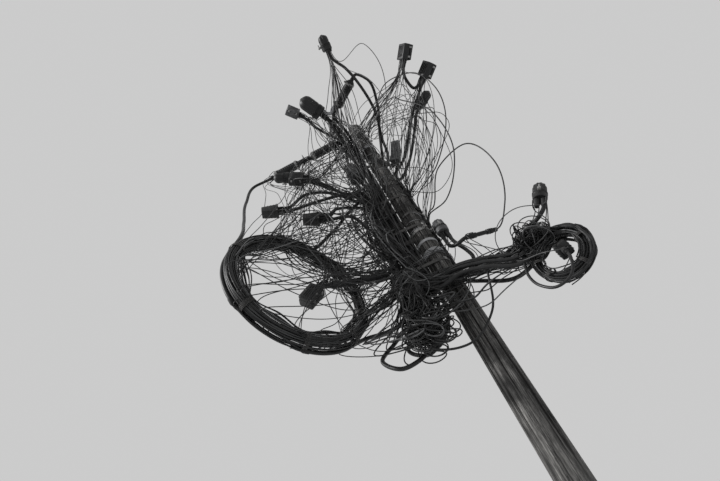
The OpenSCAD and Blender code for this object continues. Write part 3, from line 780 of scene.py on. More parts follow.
@dataclass(frozen=True)
class Plastic:
    """Moulded plastic or rubber outdoors: chalky blotches, dust on what faces up, a fine texture."""

    name: str
    grey: float
    dust: float
    roughness: float
    texture: float = 900.0
    tint: Place = (1.0, 1.0, 1.02)
    toned: bool = False

    def material(self) -> Material:
        """Builds the finish.

        Returns:
            Its material.
        """
        made = Recipe(self.name)
        even = made.place()
        cloud = made.grain(even, 14.0, 5.0, 0.6)
        streak = made.grain(made.place(0.16), 60.0, 6.0, 0.65)
        fine = made.grain(even, self.texture, 2.0, 0.5)
        greys = [(0.3, 0.6 * self.grey), (0.5, self.grey), (0.72, 1.7 * self.grey)]
        chalk = made.ramp(streak, [(0.5, 0.0), (0.78, 1.0)])
        colour = made.mix("ADD", 0.12 * self.dust, made.ramp(cloud, greys, self.tint), chalk)
        settled = made.add("ShaderNodeMath", {0: made.upward(0.25, 1.0), 1: streak}, operation="MULTIPLY")
        dust = (self.dust, 0.97 * self.dust, 0.92 * self.dust, 1.0)
        colour = made.mix("MIX", settled.outputs["Value"], colour, dust)
        # Some wires get a lighter grey at random: partly a spread of sheath tones, partly painted sunlight
        # that stands in for the glint of lit wires.
        if self.toned:
            lighter_tone_and_glint = made.ramp(made.attribute("tone"), [(0.45, 0.0), (0.75, 0.022), (0.90, 0.060), (1.0, 0.16)])
            colour = made.mix("ADD", 1.0, colour, lighter_tone_and_glint)
        rough = made.ramp(streak, [(0.3, self.roughness - 0.08), (0.7, self.roughness + 0.22)])
        values = {"Base Color": colour, "Roughness": rough, "Specular IOR Level": 0.38}
        return made.surface(values, fine, 0.12, 0.0006)


class Finish(Enum):
    """The finishes of this pole, each with the recipe that builds it."""

    WOOD = WeatheredWood()
    ZINC = ZincSteel()
    STRAP = StrapSteel()
    BLACK = Plastic("closure_black", 0.013, 0.075, 0.46)
    GREY = Plastic("closure_grey", 0.085, 0.20, 0.52)
    # The sheath paints a random lighter grey on some wires, partly as painted sunlight.
    SHEATH = Plastic("cable_sheath", 0.010, 0.070, 0.40, texture=420.0, toned=True)
    RUBBER = Plastic("end_rubber", 0.014, 0.060, 0.62, texture=500.0)
    PALE = Plastic("pale_sleeve", 0.40, 0.52, 0.55)


class Paint:
    """Builds each finish once and hands it out."""

    _made: dict[Finish, Material] = {}

    @classmethod
    def of(cls, finish: Finish) -> Material:
        """The material of a finish.

        Args:
            finish: the finish.

        Returns:
            The material, made when it is first asked for.
        """
        if finish not in cls._made:
            cls._made[finish] = finish.value.material()
        return cls._made[finish]


class Tree(Nodes):
    """A Geometry Nodes tree, which ends in real geometry with a finish."""

    def __init__(self, name: str, inputs: list[tuple[str, str, float | int]]) -> None:
        """Opens the tree.

        Args:
            name: the tree's name.
            inputs: name, kind and default of each number that it takes.
        """
        super().__init__(bpy.data.node_groups.new(name, "GeometryNodeTree"))
        face = self.tree.interface
        for way in ("OUTPUT", "INPUT"):
            face.new_socket("Geometry", in_out=way, socket_type="NodeSocketGeometry")
        for label, kind, default in inputs:
            socket = face.new_socket(label, in_out="INPUT", socket_type="NodeSocket" + kind)
            socket.default_value = default
        face.new_socket("Finish", in_out="INPUT", socket_type="NodeSocketMaterial")
        self.given = self.add("NodeGroupInput").outputs

    def close(self, made: NodeSocket) -> None:
        """Ends the tree.

        Args:
            made: what it has made.
        """
        real = self.add("GeometryNodeRealizeInstances", {"Geometry": made}).outputs["Geometry"]
        paint = self.add("GeometryNodeSetMaterial", {"Geometry": real, "Material": self.given["Finish"]})
        self.add("NodeGroupOutput", {"Geometry": paint.outputs["Geometry"]})

    def apply(self, name: str, source: Mesh, values: dict[str, object]) -> Object:
        """Runs the tree on a mesh and keeps the result as a plain mesh.

        Args:
            name: the finished piece's name.
            source: the points or edges that the tree reads.
            values: the tree's inputs by name.

        Returns:
            The finished piece, at the origin.
        """
        thing = linked(name + "_source", source)
        modifier = thing.modifiers.new("build", "NODES")
        modifier.node_group = self.tree
        keys = {s.name: s.identifier for s in self.tree.interface.items_tree if s.in_out == "INPUT"}
        for label, value in values.items():
            modifier[keys[label]] = value
        bpy.context.view_layer.update()
        ready = thing.evaluated_get(bpy.context.evaluated_depsgraph_get())
        mesh = bpy.data.meshes.new_from_object(ready)
        mesh.name = name
        bpy.data.objects.remove(thing)
        bpy.data.meshes.remove(source)
        return linked(name, mesh)


class SweepTree(Tree):
    """Turns runs of edges into round tubes, each with its own random tone, which paints some of them lighter,
    partly as a spread of sheath tones and partly as painted sunlight.
    """

    def __init__(self) -> None:
        """Builds the tree."""
        super().__init__("tubes_along_edges", [
            ("Radius", "Float", 0.01), ("Sides", "Int", 12), ("Tone and painted glint", "Float", 0.0), ("Seed", "Int", 0),
        ])
        line = self.add("GeometryNodeMeshToCurve", {"Mesh": self.given["Geometry"]}).outputs["Curve"]
        share = self.add("FunctionNodeRandomValue", {"Seed": self.given["Seed"]}, data_type="FLOAT")
        number = next(s for s in share.outputs if s.type == "VALUE")
        # Each tube draws a random share of lighter grey, which the sheath paints as a spread of tones and as
        # painted sunlight.
        tone_and_glint_share = self.add("ShaderNodeMath", {0: number, 1: self.given["Tone and painted glint"]}, operation="MULTIPLY")
        tone = self.add(
            "GeometryNodeStoreNamedAttribute", {"Geometry": line, "Name": "tone"},
            data_type="FLOAT", domain="CURVE",
        )
        entry = next(s for s in tone.inputs if s.name == "Value" and s.type == "VALUE")
        self.feed(tone_and_glint_share.outputs["Value"], entry)
        size = {"Radius": self.given["Radius"], "Resolution": self.given["Sides"]}
        ring = self.add("GeometryNodeCurvePrimitiveCircle", size, mode="RADIUS").outputs["Curve"]
        tube = self.add("GeometryNodeCurveToMesh", {
            "Curve": tone.outputs["Geometry"], "Profile Curve": ring, "Fill Caps": True})
        soft = self.add("GeometryNodeSetShadeSmooth", {"Geometry": tube.outputs["Mesh"]})
        self.close(soft.outputs["Geometry"])

    def tubes(
        self, name: str, runs: list[Run], radius: float, sides: int, finish: Finish, tone_and_painted_glint: float = 0.0
    ) -> Object:
        """One piece with a tube along each run of points.

        Args:
            name: the piece's name.
            runs: the points of each tube, in metres.
            radius: the tubes' radius.
            sides: corners of a tube's section.
            finish: what the tubes are made of.
            tone_and_painted_glint: how much lighter the lightest of them is painted, partly as a spread of
                sheath tones and partly as painted sunlight, 0 to 1.

        Returns:
            The piece.
        """
        edges, first = [], 0
        for run in runs:
            edges += [(first + i, first + i + 1) for i in range(len(run) - 1)]
            first += len(run)
        mesh = bpy.data.meshes.new(name + "_line")
        mesh.from_pydata([p for run in runs for p in run], edges, [])
        seed = sum(ord(letter) for letter in name)
        look = {"Tone and painted glint": tone_and_painted_glint, "Seed": seed, "Finish": Paint.of(finish)}
        values = {"Radius": radius, "Sides": sides, **look}
        return self.apply(name, mesh, values)


class ScrewTree(Tree):
    """Puts a hexagon head on a washer at each point, turned along the point's normal."""

    def __init__(self) -> None:
        """Builds the tree."""
        super().__init__("screws_on_points", [("Width", "Float", 0.01), ("Height", "Float", 0.005)])
        points = self.add("GeometryNodeMeshToPoints", {"Mesh": self.given["Geometry"]})
        aim = self.add("GeometryNodeInputNamedAttribute", {"Name": "aim"}, data_type="FLOAT_VECTOR")
        turn = self.add("FunctionNodeAlignRotationToVector", {"Vector": aim.outputs["Attribute"]}, axis="Z")
        half, wide = (
            self.add("ShaderNodeMath", {0: self.given["Width"], 1: share}, operation="MULTIPLY").outputs[0]
            for share in (0.5, 0.78)
        )
        both = self.add("GeometryNodeJoinGeometry")
        for corners, radius, depth in ((6, half, self.given["Height"]), (12, wide, 0.002)):
            size = {"Vertices": corners, "Radius": radius, "Depth": depth}
            disc = self.add("GeometryNodeMeshCylinder", size, fill_type="NGON")
            self.feed(disc.outputs["Mesh"], both.inputs["Geometry"])
        spread = self.add("GeometryNodeInstanceOnPoints", {
            "Points": points.outputs["Points"], "Instance": both.outputs["Geometry"],
            "Rotation": turn.outputs["Rotation"],
        })
        self.close(spread.outputs["Instances"])

    def screws(self, name: str, spots: list[tuple[Vector, Vector]], width: float, height: float) -> Object:
        """One piece with a zinc screw head at each spot.

        Args:
            name: the piece's name.
            spots: place and outward direction of each screw.
            width: the head's width across its corners.
            height: the head's height.

        Returns:
            The piece.
        """
        mesh = bpy.data.meshes.new(name + "_spots")
        mesh.from_pydata([place for place, _ in spots], [], [])
        aim = mesh.attributes.new("aim", "FLOAT_VECTOR", "POINT")
        for item, (_, way) in zip(aim.data, spots):
            item.vector = way
        return self.apply(name, mesh, {"Width": width, "Height": height, "Finish": Paint.of(Finish.ZINC)})


@dataclass
class Shape:
    """Corners and faces gathered for one mesh, each face with the place of its finish."""

    corners: Run = field(default_factory=list)
    faces: list[tuple[int, ...]] = field(default_factory=list)
    marks: list[int] = field(default_factory=list)

    def loft(self, sections: list[Run], place: Matrix, mark: int = 0) -> None:
        """A closed skin over sections that run anticlockwise, seen from the last one.

        Args:
            sections: rings of corners, all of one count.
            place: where the loft stands.
            mark: which finish its faces take.
        """
        first, count = len(self.corners), len(sections[0])
        for section in sections:
            self.corners += [place @ corner for corner in section]
        for i in range(len(sections) - 1):
            for k in range(count):
                a, b = first + i * count + k, first + i * count + (k + 1) % count
                self.faces.append((a, b, b + count, a + count))
        last = first + (len(sections) - 1) * count
        self.faces.append(tuple(reversed(range(first, first + count))))
        self.faces.append(tuple(range(last, last + count)))
        self.marks += [mark] * ((len(sections) - 1) * count + 2)

    def lathe(
        self, rings: list[Flat], place: Matrix, mark: int = 0, sides: int = 32, ribs: int = 0,
        rib: float = 0.0, rib_zone: Flat = (0.0, 0.0),
    ) -> None:
        """A turned solid, with ribs along it where they are asked for.

        Args:
            rings: radius and height of each ring, from the lowest up.
            place: where its axis stands.
            mark: which finish its faces take.
            sides: corners of a ring.
            ribs: how many ribs stand around it.
            rib: how far a rib stands out.
            rib_zone: lowest and highest height of the ribs.
        """
        sections = []
        for radius, height in rings:
            ring = []
            inside = rib_zone[0] < height < rib_zone[1]
            for k in range(sides):
                angle = FULL_TURN * k / sides
                out = radius
                if ribs and inside:
                    fade = min(1.0, (height - rib_zone[0]) / 0.006, (rib_zone[1] - height) / 0.012)
                    out += rib * fade * min(1.0, max(0.0, (math.cos(ribs * angle) - 0.45) / 0.3))
                ring.append(polar(out, angle, height))
            sections.append(ring)
        self.loft(sections, place, mark)

    def slab(
        self, size: Place, place: Matrix, mark: int = 0, corner: float = 0.003, edge: float = 0.002,
        taper: float = 1.0,
    ) -> None:
        """A block with rounded corners and edges.

        Args:
            size: its whole width, depth and height, about its middle.
            place: where it stands.
            mark: which finish its faces take.
            corner: radius of its upright corners.
            edge: radius of its lower and upper edges.
            taper: width of its top over that of its foot.
        """
        width, depth, height = size
        heights = [(-height / 2, edge), (-height / 2 + 0.3 * edge, 0.3 * edge), (-height / 2 + edge, 0.0),
                   (height / 2 - edge, 0.0), (height / 2 - 0.3 * edge, 0.3 * edge), (height / 2, edge)]
        sections = []
        for z, inset in heights:
            share = (z + height / 2) / height
            wide = width * (1 + (taper - 1) * share)
            sections.append(rounded(wide - 2 * inset, depth - 2 * inset, max(corner - inset, 0.0006), z))
        self.loft(sections, place, mark)

    def build(self, name: str, finishes: list[Finish], crease: float = 40.0) -> Object:
        """Makes the mesh.

        Args:
            name: the piece's name.
            finishes: the finishes that the marks point to.
            crease: faces that meet at more than this angle keep a sharp edge, in degrees.

        Returns:
            The piece.
        """
        mesh = bpy.data.meshes.new(name)
        mesh.from_pydata(self.corners, [], self.faces)
        for finish in finishes:
            mesh.materials.append(Paint.of(finish))
        mesh.polygons.foreach_set("material_index", self.marks)
        mesh.shade_smooth()
        mesh.set_sharp_from_angle(angle=math.radians(crease))
        mesh.update()
        return linked(name, mesh)


def rounded(width: float, depth: float, radius: float, height: float, steps: int = 3) -> Run:
    """A ring of corners of a rectangle with rounded corners.

    Args:
        width: the rectangle's size along x.
        depth: its size along y.
        radius: the corners' radius.
        height: the ring's height.
        steps: how many parts each corner has.

    Returns:
        The corners, anticlockwise.
    """
    ring = []
    radius = min(radius, 0.49 * width, 0.49 * depth)
    for sx, sy, start in ((1, 1, 0), (-1, 1, 90), (-1, -1, 180), (1, -1, 270)):
        for i in range(steps + 1):
            angle = math.radians(start + 90 * i / steps)
            x = sx * (width / 2 - radius) + radius * math.cos(angle)
            y = sy * (depth / 2 - radius) + radius * math.sin(angle)
            ring.append(Vector((x, y, height)))
    return ring


@dataclass
class Work:
    """What the sub-assemblies share while they are built."""

    sweep: SweepTree
    screw: ScrewTree
    heads: dict[str, list[tuple[Vector, Vector]]] = field(default_factory=dict)

    def note(self, kind: str, place: Matrix, at: Place, way: Place) -> None:
        """Asks for a screw head of a kind, at a place of a closure's frame and in a direction of it."""
        spot = (place @ Vector(at), (place.to_3x3() @ Vector(way)).normalized())
        self.heads.setdefault(kind, []).append(spot)

    def keep(self, piece: Object, finish: Finish, *nodes: str) -> Object:
        """Puts a finished piece on the pole.

        Args:
            piece: the piece.
            finish: the piece's finish; not used.
            nodes: the CAD nodes that it stands for.

        Returns:
            The piece.
        """
        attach(piece, "root")
        if nodes:
            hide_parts(*nodes)
        LOG.info("%s: %d triangles", piece.name, sum(len(p.vertices) - 2 for p in piece.data.polygons))
        return piece

    def wires(
        self, name: str, runs: list[Run], radius: float, sides: int, *nodes: str, tone_and_painted_glint: float = 0.0
    ) -> Object:
        """Puts sheathed tubes on the pole as one piece.

        Args:
            name: the piece's name.
            runs: the points of each tube, in metres.
            radius: the tubes' radius.
            sides: corners of a tube's section.
            nodes: the CAD nodes that the piece stands for.
            tone_and_painted_glint: how much lighter the lightest of them is painted, partly as a spread of
                sheath tones and partly as painted sunlight, 0 to 1.

        Returns:
            The piece.
        """
        piece = self.sweep.tubes(name, runs, radius, sides, Finish.SHEATH, tone_and_painted_glint)
        return self.keep(piece, Finish.SHEATH, *nodes)

    def cord(
        self, name: str, path: Run, diameter: float, sides: int, stiffness: str, lay: str,
        *nodes: str, tone_and_painted_glint: float = 0.0,
    ) -> None:
        """Args:
            name: the piece's name.
            path: its middle line, from where it leaves the pole's pieces to where it goes back into them.
            diameter: its thickness.
            sides: corners of its section.
            stiffness: limp, medium or stiff; not used.
            lay: how it lies; not used.
            nodes: the CAD nodes that it stands for.
            tone_and_painted_glint: how much lighter it may be painted, partly as a spread of sheath tones and
                partly as painted sunlight, 0 to 1.
        """
        piece = self.wires(name, [path], diameter / 2, sides, *nodes, tone_and_painted_glint=tone_and_painted_glint)


class Part(IntEnum):
    """The parts of a closure with a finish each, in the order in which its mesh holds them."""

    SKIN = 0
    RING = 1
    METAL = 2
    COLLAR = 3


@dataclass
class Closure:
    """What every closure has: its seat, and the rubber collars of its cables."""

    seat: str
    both_ends: bool = False
    collar: float = 0.0165

    def frame(self) -> tuple[Matrix, float]:
        """The closure's own frame, and half of its length in metres."""
        seat = SEATS[self.seat]
        return seat.matrix(), seat.half / 1000

    def build(self, shape: Shape, work: Work) -> None:
        """Adds the closure's body and its collars, shrunk sleeves that narrow down each cable.

        Args:
            shape: the mesh that it goes into.
            work: takes its screws.
        """
        self.body(shape, work)
        for mouth in SEATS[self.seat].mouths(self.both_ends):
            shape.lathe(profile(self.collar, 0.0, [
                (0.0065, -0.004), (0.0075, 0.004), (0.0060, 0.007), (0.0060, 0.026), (0.0030, 0.034),
                (0.0022, 0.062), (0.0006, 0.070), (-0.0012, 0.0705),
            ]), mouth, Part.COLLAR, sides=20)

    def body(self, shape: Shape, work: Work) -> None:
        """Adds the body of the closure, which each kind shapes in its own way.

        Args:
            shape: the mesh that it goes into.
            work: takes its screws.
        """
        raise NotImplementedError


@dataclass
class DomeClosure(Closure):
    """A dome with ribs on a base with spare mouths, held by a clamp ring."""

    diameter: float = 0.176
    spares: int = 3

    def body(self, shape: Shape, work: Work) -> None:
        """Adds the dome, its base, its clamp ring and latch.

        Args:
            shape: the mesh that it goes into.
            work: takes its screws.
        """
        place, half = self.frame()
        d = self.diameter
        rim, wall, foot = d / 2, (d - 0.016) / 2, -half
        base = profile(rim, foot, [
            (-0.009, 0.0005), (-0.005, 0.004), (-0.004, 0.020), (-0.004, 0.040), (-0.002, 0.044),
            (-0.003, 0.046),
        ])
        shape.lathe([(0.62 * d / 2, foot + 0.0005), *base], place, sides=48, ribs=24, rib=0.002,
                    rib_zone=(foot + 0.003, foot + 0.041))
        shape.lathe(profile(rim, foot, [
            (-0.004, 0.044), (-0.0005, 0.046), (0, 0.050), (-0.0035, 0.054), (-0.0035, 0.058), (0, 0.062),
            (-0.0005, 0.066), (-0.005, 0.068),
        ]), place, Part.RING, sides=48)
        start, rise = foot + 0.067, half - wall
        skin = profile(wall, start, [(-0.001, 0), (0.003, 0.002), (0.003, 0.010), (0, 0.013)])
        steps = max(3, int((rise - start) / 0.016))
        skin += [(wall, start + 0.013 + (rise - start - 0.013) * (i + 1) / steps) for i in range(steps)]
        for i in range(1, 11):
            angle = math.pi / 2 * i / 10.4
            skin.append((wall * math.cos(angle), rise + wall * math.sin(angle)))
        shape.lathe(skin, place, sides=120, ribs=10, rib=0.0040, rib_zone=(start + 0.012, half - 0.010))
        cap = [(0.016, half - 0.006), (0.016, half + 0.001), (0.013, half + 0.003)]
        shape.lathe(cap, place, Part.RING, sides=12)
        latch = moved(place, 0, -(rim + 0.006), foot + 0.056)
        shape.slab((0.026, 0.030, 0.020), latch, Part.METAL, corner=0.004)
        shape.slab((0.012, 0.012, 0.050), moved(place, 0, -(rim + 0.017), foot + 0.064), Part.METAL)
        work.note("bolt", place, (0.0, -(rim + 0.023), foot + 0.05), (0, -1, 0))
        for i in range(self.spares):
            angle = math.radians(90 + (i - (self.spares - 1) / 2) * 48)
            spot = moved(place, *polar(0.30 * d, angle, foot)) @ FLIP
            shape.lathe([(0.012, -0.004), (0.012, 0.016), (0.010, 0.018), (0.010, 0.022)], spot, sides=12)


@dataclass
class SmallDome(DomeClosure):
    """The smaller dome, with two spare mouths."""

    diameter: float = 0.118
    spares: int = 2


@dataclass
class TerminalBox(Closure):
    """A box with a proud lid with ribs, hinges at one side and latches at the other."""

    width: float = 0.150
    depth: float = 0.092
    ribs: int = 5
    lid: float = 0.024

    def body(self, shape: Shape, work: Work) -> None:
        """Adds the box, its lid, ribs, hinges and latches.

        Args:
            shape: the mesh that it goes into.
            work: takes its screws.
        """
        place, half = self.frame()
        tall, deep = 2 * half, self.depth / 2
        back = self.depth - self.lid + 0.002
        shape.slab((self.width, back, tall), moved(place, 0, -deep + back / 2, 0), corner=0.014, edge=0.006)
        over = moved(place, 0, deep - self.lid / 2, 0)
        turned = over @ Matrix.Rotation(math.pi / 2, 4, "X")
        shape.slab((self.width + 0.008, tall - 0.002, self.lid), turned, corner=0.016, edge=0.005)
        front = moved(over, 0, self.lid / 2, 0) @ Matrix.Rotation(-math.pi / 2, 4, "X")
        shape.slab((self.width - 0.030, tall - 0.036, 0.006), front, corner=0.010, edge=0.0025)
        for i in range(self.ribs):
            x = (i - (self.ribs - 1) / 2) * (self.width - 0.052) / max(self.ribs - 1, 1)
            shape.slab((0.006, tall - 0.060, 0.011), moved(front, x, 0, 0.001))
        for side in (-1, 1):
            for share in (-0.30, 0.30):
                spot = moved(place, side * (self.width / 2 + 0.003), deep - self.lid - 0.002, share * tall)
                if side < 0:
                    hinge = [(0.0035, -0.016), (0.0045, -0.015), (0.0045, 0.015), (0.0035, 0.016)]
                    shape.lathe(hinge, spot, sides=12)
                else:
                    shape.slab((0.008, 0.026, 0.018), spot, Part.METAL, corner=0.002, edge=0.0015)
        reach = (self.width / 2 - 0.009, tall / 2 - 0.011)
        for x in (-1, 1):
            for z in (-1, 0, 1):
                work.note("screw", place, (x * reach[0], deep + 0.001, z * reach[1]), (0, 1, 0))
        for x in (-0.30, -0.10, 0.10, 0.30):
            shape.slab((0.007, 0.012, 0.72 * tall), moved(place, x * self.width, -deep, 0))


@dataclass
class TaperedBox(Closure):
    """A box whose sides draw in towards its closed end, with steps across its faces."""

    width: float = 0.124
    depth: float = 0.090
    taper: float = 0.645

    def body(self, shape: Shape, work: Work) -> None:
        """Adds the box, its rim and steps.

        Args:
            shape: the mesh that it goes into.
            work: takes its screws.
        """
        place, half = self.frame()
        tall = 2 * half
        shape.slab((self.width, self.depth, tall), place, corner=0.012, edge=0.006, taper=self.taper)
        rim = moved(place, 0, 0, -tall / 2 + 0.012)
        shape.slab((self.width + 0.008, self.depth + 0.008, 0.020), rim, corner=0.014, edge=0.004)
        for i in range(4):
            share = 0.26 + 0.18 * i
            wide = self.width * (1 + (self.taper - 1) * share) + 0.005
            band = moved(place, 0, 0, -tall / 2 + share * tall)
            shape.slab((wide, self.depth + 0.005, 0.007), band, corner=0.012)
        for x in (-0.042, 0.042):
            for y in (-1, 1):
                spot = (x, y * (self.depth / 2 + 0.0045), -tall / 2 + 0.012)
                work.note("screw", place, spot, (0, y, 0))


@dataclass
class InlineClosure(Closure):
    """A long closure in line with its cable: a ribbed barrel in two halves with bolted flanges."""

    both_ends: bool = True
    diameter: float = 0.112

    def body(self, shape: Shape, work: Work) -> None:
        """Adds the barrel, end cones, clamp bands and flanges.

        Args:
            shape: the mesh that it goes into.
            work: takes its screws.
        """
        place, half = self.frame()
        rim = self.diameter / 2
        wall = rim - 0.005
        rings = [(0.023, -half), (0.027, -half), (wall - 0.010, -half + 0.014), (wall - 0.002, -half + 0.028)]
        count = max(4, round((2 * half - 0.068) / 0.024))
        pitch = (2 * half - 0.068) / count
        for i in range(count):
            z = -half + 0.034 + i * pitch
            groove = [(-0.0025, 0), (-0.0025, 0.55 * pitch), (0, 0.62 * pitch), (0, 0.92 * pitch)]
            rings += profile(wall, z, groove)
        rings += [(wall - 0.002, half - 0.028), (wall - 0.010, half - 0.014), (0.027, half), (0.023, half)]
        shape.lathe(rings, place, sides=40)
        for z in (-half + 0.042, half - 0.042):
            band = profile(rim, z, [
                (0, -0.011), (0, -0.004), (-0.002, -0.003), (-0.002, 0.003), (0, 0.004), (0, 0.011)])
            band = [(wall - 0.001, z - 0.012), *band, (wall - 0.001, z + 0.012)]
            shape.lathe(band, place, Part.METAL, sides=40)
            shape.slab((0.022, 0.016, 0.018), moved(place, 0, -(rim + 0.005), z), Part.METAL)
            work.note("bolt", place, (0.0, -(rim + 0.014), z), (0, -1, 0))
        for side in (-1, 1):
            flange = moved(place, side * (wall + 0.004), 0, 0)
            shape.slab((0.022, 0.014, 2 * half - 0.110), flange, edge=0.003)
            for i in range(5):
                z = (i - 2) * (2 * half - 0.140) / 4
                work.note("screw", place, (side * (wall + 0.009), 0.008, z), (0, 1, 0))


@dataclass
class SmallInline(Closure):
    """A short round closure with a screwed cap at each end."""

    both_ends: bool = True
    diameter: float = 0.070

    def body(self, shape: Shape, work: Work) -> None:
        """Adds the barrel and its caps with grips.

        Args:
            shape: the mesh that it goes into.
            work: takes its screws.
        """
        place, half = self.frame()
        r = self.diameter / 2
        shape.lathe([(r - 0.006, -half + 0.024), (r - 0.005, -half + 0.028), (r - 0.004, 0.0),
                     (r - 0.005, half - 0.028), (r - 0.006, half - 0.024)], place)
        cap = [*profile(r, half, [(-0.004, -0.030), (0, -0.028), (0, -0.008), (-0.003, -0.002)]),
               (0.023, half), (0.020, half)]
        for end in (place @ FLIP, place):
            shape.lathe(cap, end, sides=48, ribs=16, rib=0.002, rib_zone=(half - 0.029, half - 0.007))
        work.note("screw", place, (0.0, r - 0.003, 0.0), (0, 1, 0))


@dataclass
class ClosureSet:
    """The closures that share one CAD node."""

    node: str
    members: list[Closure]
    skin: Finish = Finish.BLACK

    def build(self, work: Work) -> None:
        """Makes one piece of the members and puts it in the node's place.

        Args:
            work: takes the pieces.
        """
        shape = Shape()
        for member in self.members:
            member.build(shape, work)
        piece = shape.build(self.node + "_detail", [self.skin, Finish.RUBBER, Finish.ZINC, Finish.RUBBER])
        work.keep(piece, self.skin, self.node)


def closure_sets() -> list[ClosureSet]:
    """Every closure of the pole, by CAD node.

    Returns:
        The sets, in the order in which they are built.
    """
    grey = Finish.GREY
    return [
        ClosureSet("dome_closure_left", [DomeClosure("dome_left")], grey),
        ClosureSet("upright_terminal", [TerminalBox("upright", width=0.096, depth=0.070, ribs=3)], grey),
        ClosureSet("round_closure_right", [SmallDome("round_right")], grey),
        ClosureSet("front_dome_closure", [DomeClosure("front_dome")]),
        ClosureSet("front_inline_closure", [InlineClosure("front_inline")]),
        ClosureSet("front_square_box", [TerminalBox("front_square")], grey),
        ClosureSet("front_oval_closure", [SmallDome("front_oval")]),
        ClosureSet("square_boxes_right", [TerminalBox("square_high"), TerminalBox("square_low")]),
        ClosureSet("small_closure_right", [SmallDome("small_right")]),
        ClosureSet("strand_inline_closures", [InlineClosure("strand_near"), InlineClosure("strand_far")]),
        ClosureSet("left_box_group", [TerminalBox("group_box"), SmallDome("group_dome")]),
        ClosureSet("tapered_boxes_left", [TaperedBox("tapered_far"), TaperedBox("tapered_near")]),
        ClosureSet("coil_closure", [TerminalBox("ring_box", width=0.120)]),
        ClosureSet("small_inline_closures", [
            SmallInline("small_inline_near"), SmallInline("small_inline_far"),
        ]),
        ClosureSet("bundle_foot_box", [TerminalBox("foot_box", depth=0.110)]),
        ClosureSet("side_cluster_box", [TerminalBox("cluster_box", width=0.108, ribs=4)]),
        ClosureSet("side_closure", [SmallDome("side_dome", diameter=0.110)]),
        ClosureSet("side_bar", [SmallInline("bar", diameter=0.044)]),
    ]


@dataclass
class PoleShaft:
    """The tapered wooden shaft, with drying cracks and a slightly uneven skin."""

    around: int = 144
    along: int = 280
    cracks: int = 58
    crack_width: float = 0.0036
    # Crack depth at which the painted shade inside it is full.
    full_crack: float = 0.0045
    seed: int = 11

    def _crack_lines(self) -> list[tuple[float, float, float, float, float]]:
        """Draws the drying cracks.

        Returns:
            Angle, lowest and highest height, depth and wander of each.
        """
        draw = random.Random(self.seed)
        lines = []
        for _ in range(self.cracks):
            low = draw.uniform(0.0, 6.0)
            lines.append((
                draw.uniform(0, FULL_TURN), low, min(7.02, low + draw.uniform(0.5, 2.4)),
                draw.uniform(0.003, 0.008), draw.uniform(0, 50),
            ))
        return lines

    def _cut(self, turn: float, base: float, near: list[Flat]) -> float:
        """How deep the cracks cut at a place of the skin.

        Args:
            turn: the place's angle.
            base: the pole's radius there.
            near: angle and depth of each crack at this height.

        Returns:
            The depth, in metres.
        """
        cut = 0.0
        for angle, depth in near:
            gap = abs((turn - angle + math.pi) % FULL_TURN - math.pi) * base
            if gap < 3 * self.crack_width:
                cut = max(cut, depth * math.exp(-(gap / self.crack_width) ** 2))
        return cut

    def build(self, work: Work) -> None:
        """Makes the shaft's mesh, with how deep a crack is as an attribute, which the wood uses for painted
        shade inside the cracks.

        Args:
            work: takes the pieces.
        """
        lines = self._crack_lines()
        shape, depths, rings = Shape(), [], []
        for j in range(self.along + 1):
            z = POLE_HEIGHT * j / self.along
            base = pole_radius(z)
            near = [
                (angle + 0.05 * noise.noise(Vector((wander, z * 1.7, 0))), depth
                 * min(1.0, (z - low) / 0.25, (high - z) / 0.25))
                for angle, low, high, depth, wander in lines if low < z < high
            ]
            ring = []
            for k in range(self.around):
                turn = FULL_TURN * k / self.around
                spot = polar(3.1, turn, z * 0.9)
                dent = 0.0011 * (noise.noise(spot) + 1) + 0.0005 * (noise.noise(spot * 7) + 1)
                cut = self._cut(turn, base, near)
                ring.append(polar(base - dent - cut, turn, z))
                depths.append(min(1.0, cut / self.full_crack))
            rings.append(ring)
        shape.loft(rings, Matrix.Identity(4))
        piece = shape.build("pole_shaft_detail", [Finish.WOOD], crease=50.0)
        # The crack depth is kept for the wood's painted shade inside the cracks.
        piece.data.attributes.new("crack_shade", "FLOAT", "POINT").data.foreach_set("value", depths)
        work.keep(piece, Finish.WOOD, "pole_shaft")


@dataclass
class SteelHardware:
    """Bolts, clamps, bands, brackets and straps, whose shapes come from the frame."""

    zinc: tuple[str, ...] = (
        "top_through_bolt", "upper_through_bolt", "back_strand_clamp", "front_strand_clamp", "hook_band",
        "guy_hook", "drop_wire_hooks", "dome_bracket", "terminal_bracket", "round_closure_bracket",
    )
    straps: tuple[str, ...] = ("bundle_straps",)
    strap_heights: tuple[float, ...] = (4.24, 4.74, 5.24)
    seal_angle: float = -52.5

    def _seals(self, work: Work) -> None:
        """Adds the crimped seal that locks each strap, on the flat of the strap at the pole's front.

        Args:
            work: takes the pieces.
        """
        shape = Shape()
        turn = Matrix.Rotation(math.radians(self.seal_angle) - math.pi / 2, 4, "Z")
        for height in self.strap_heights:
            place = moved(turn, 0, pole_radius(height + 0.016) + 0.0052, height)
            shape.slab((0.025, 0.0048, 0.037), place, corner=0.002, edge=0.0016)
            for x in (-0.0058, 0.0058):
                shape.slab((0.0030, 0.0016, 0.030), moved(place, x, 0.0026, 0), corner=0.0007, edge=0.0006)
        work.keep(shape.build("strap_seals", [Finish.ZINC]), Finish.ZINC)

    def build(self, work: Work) -> None:
        """Gives the frame's own steel nodes their finishes, and adds the seals.

        Args:
            work: takes the pieces.
        """
        for names, finish in ((self.zinc, Finish.ZINC), (self.straps, Finish.STRAP)):
            for name in names:
                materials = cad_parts[name].data.materials
                materials.clear()
                materials.append(Paint.of(finish))
        self._seals(work)


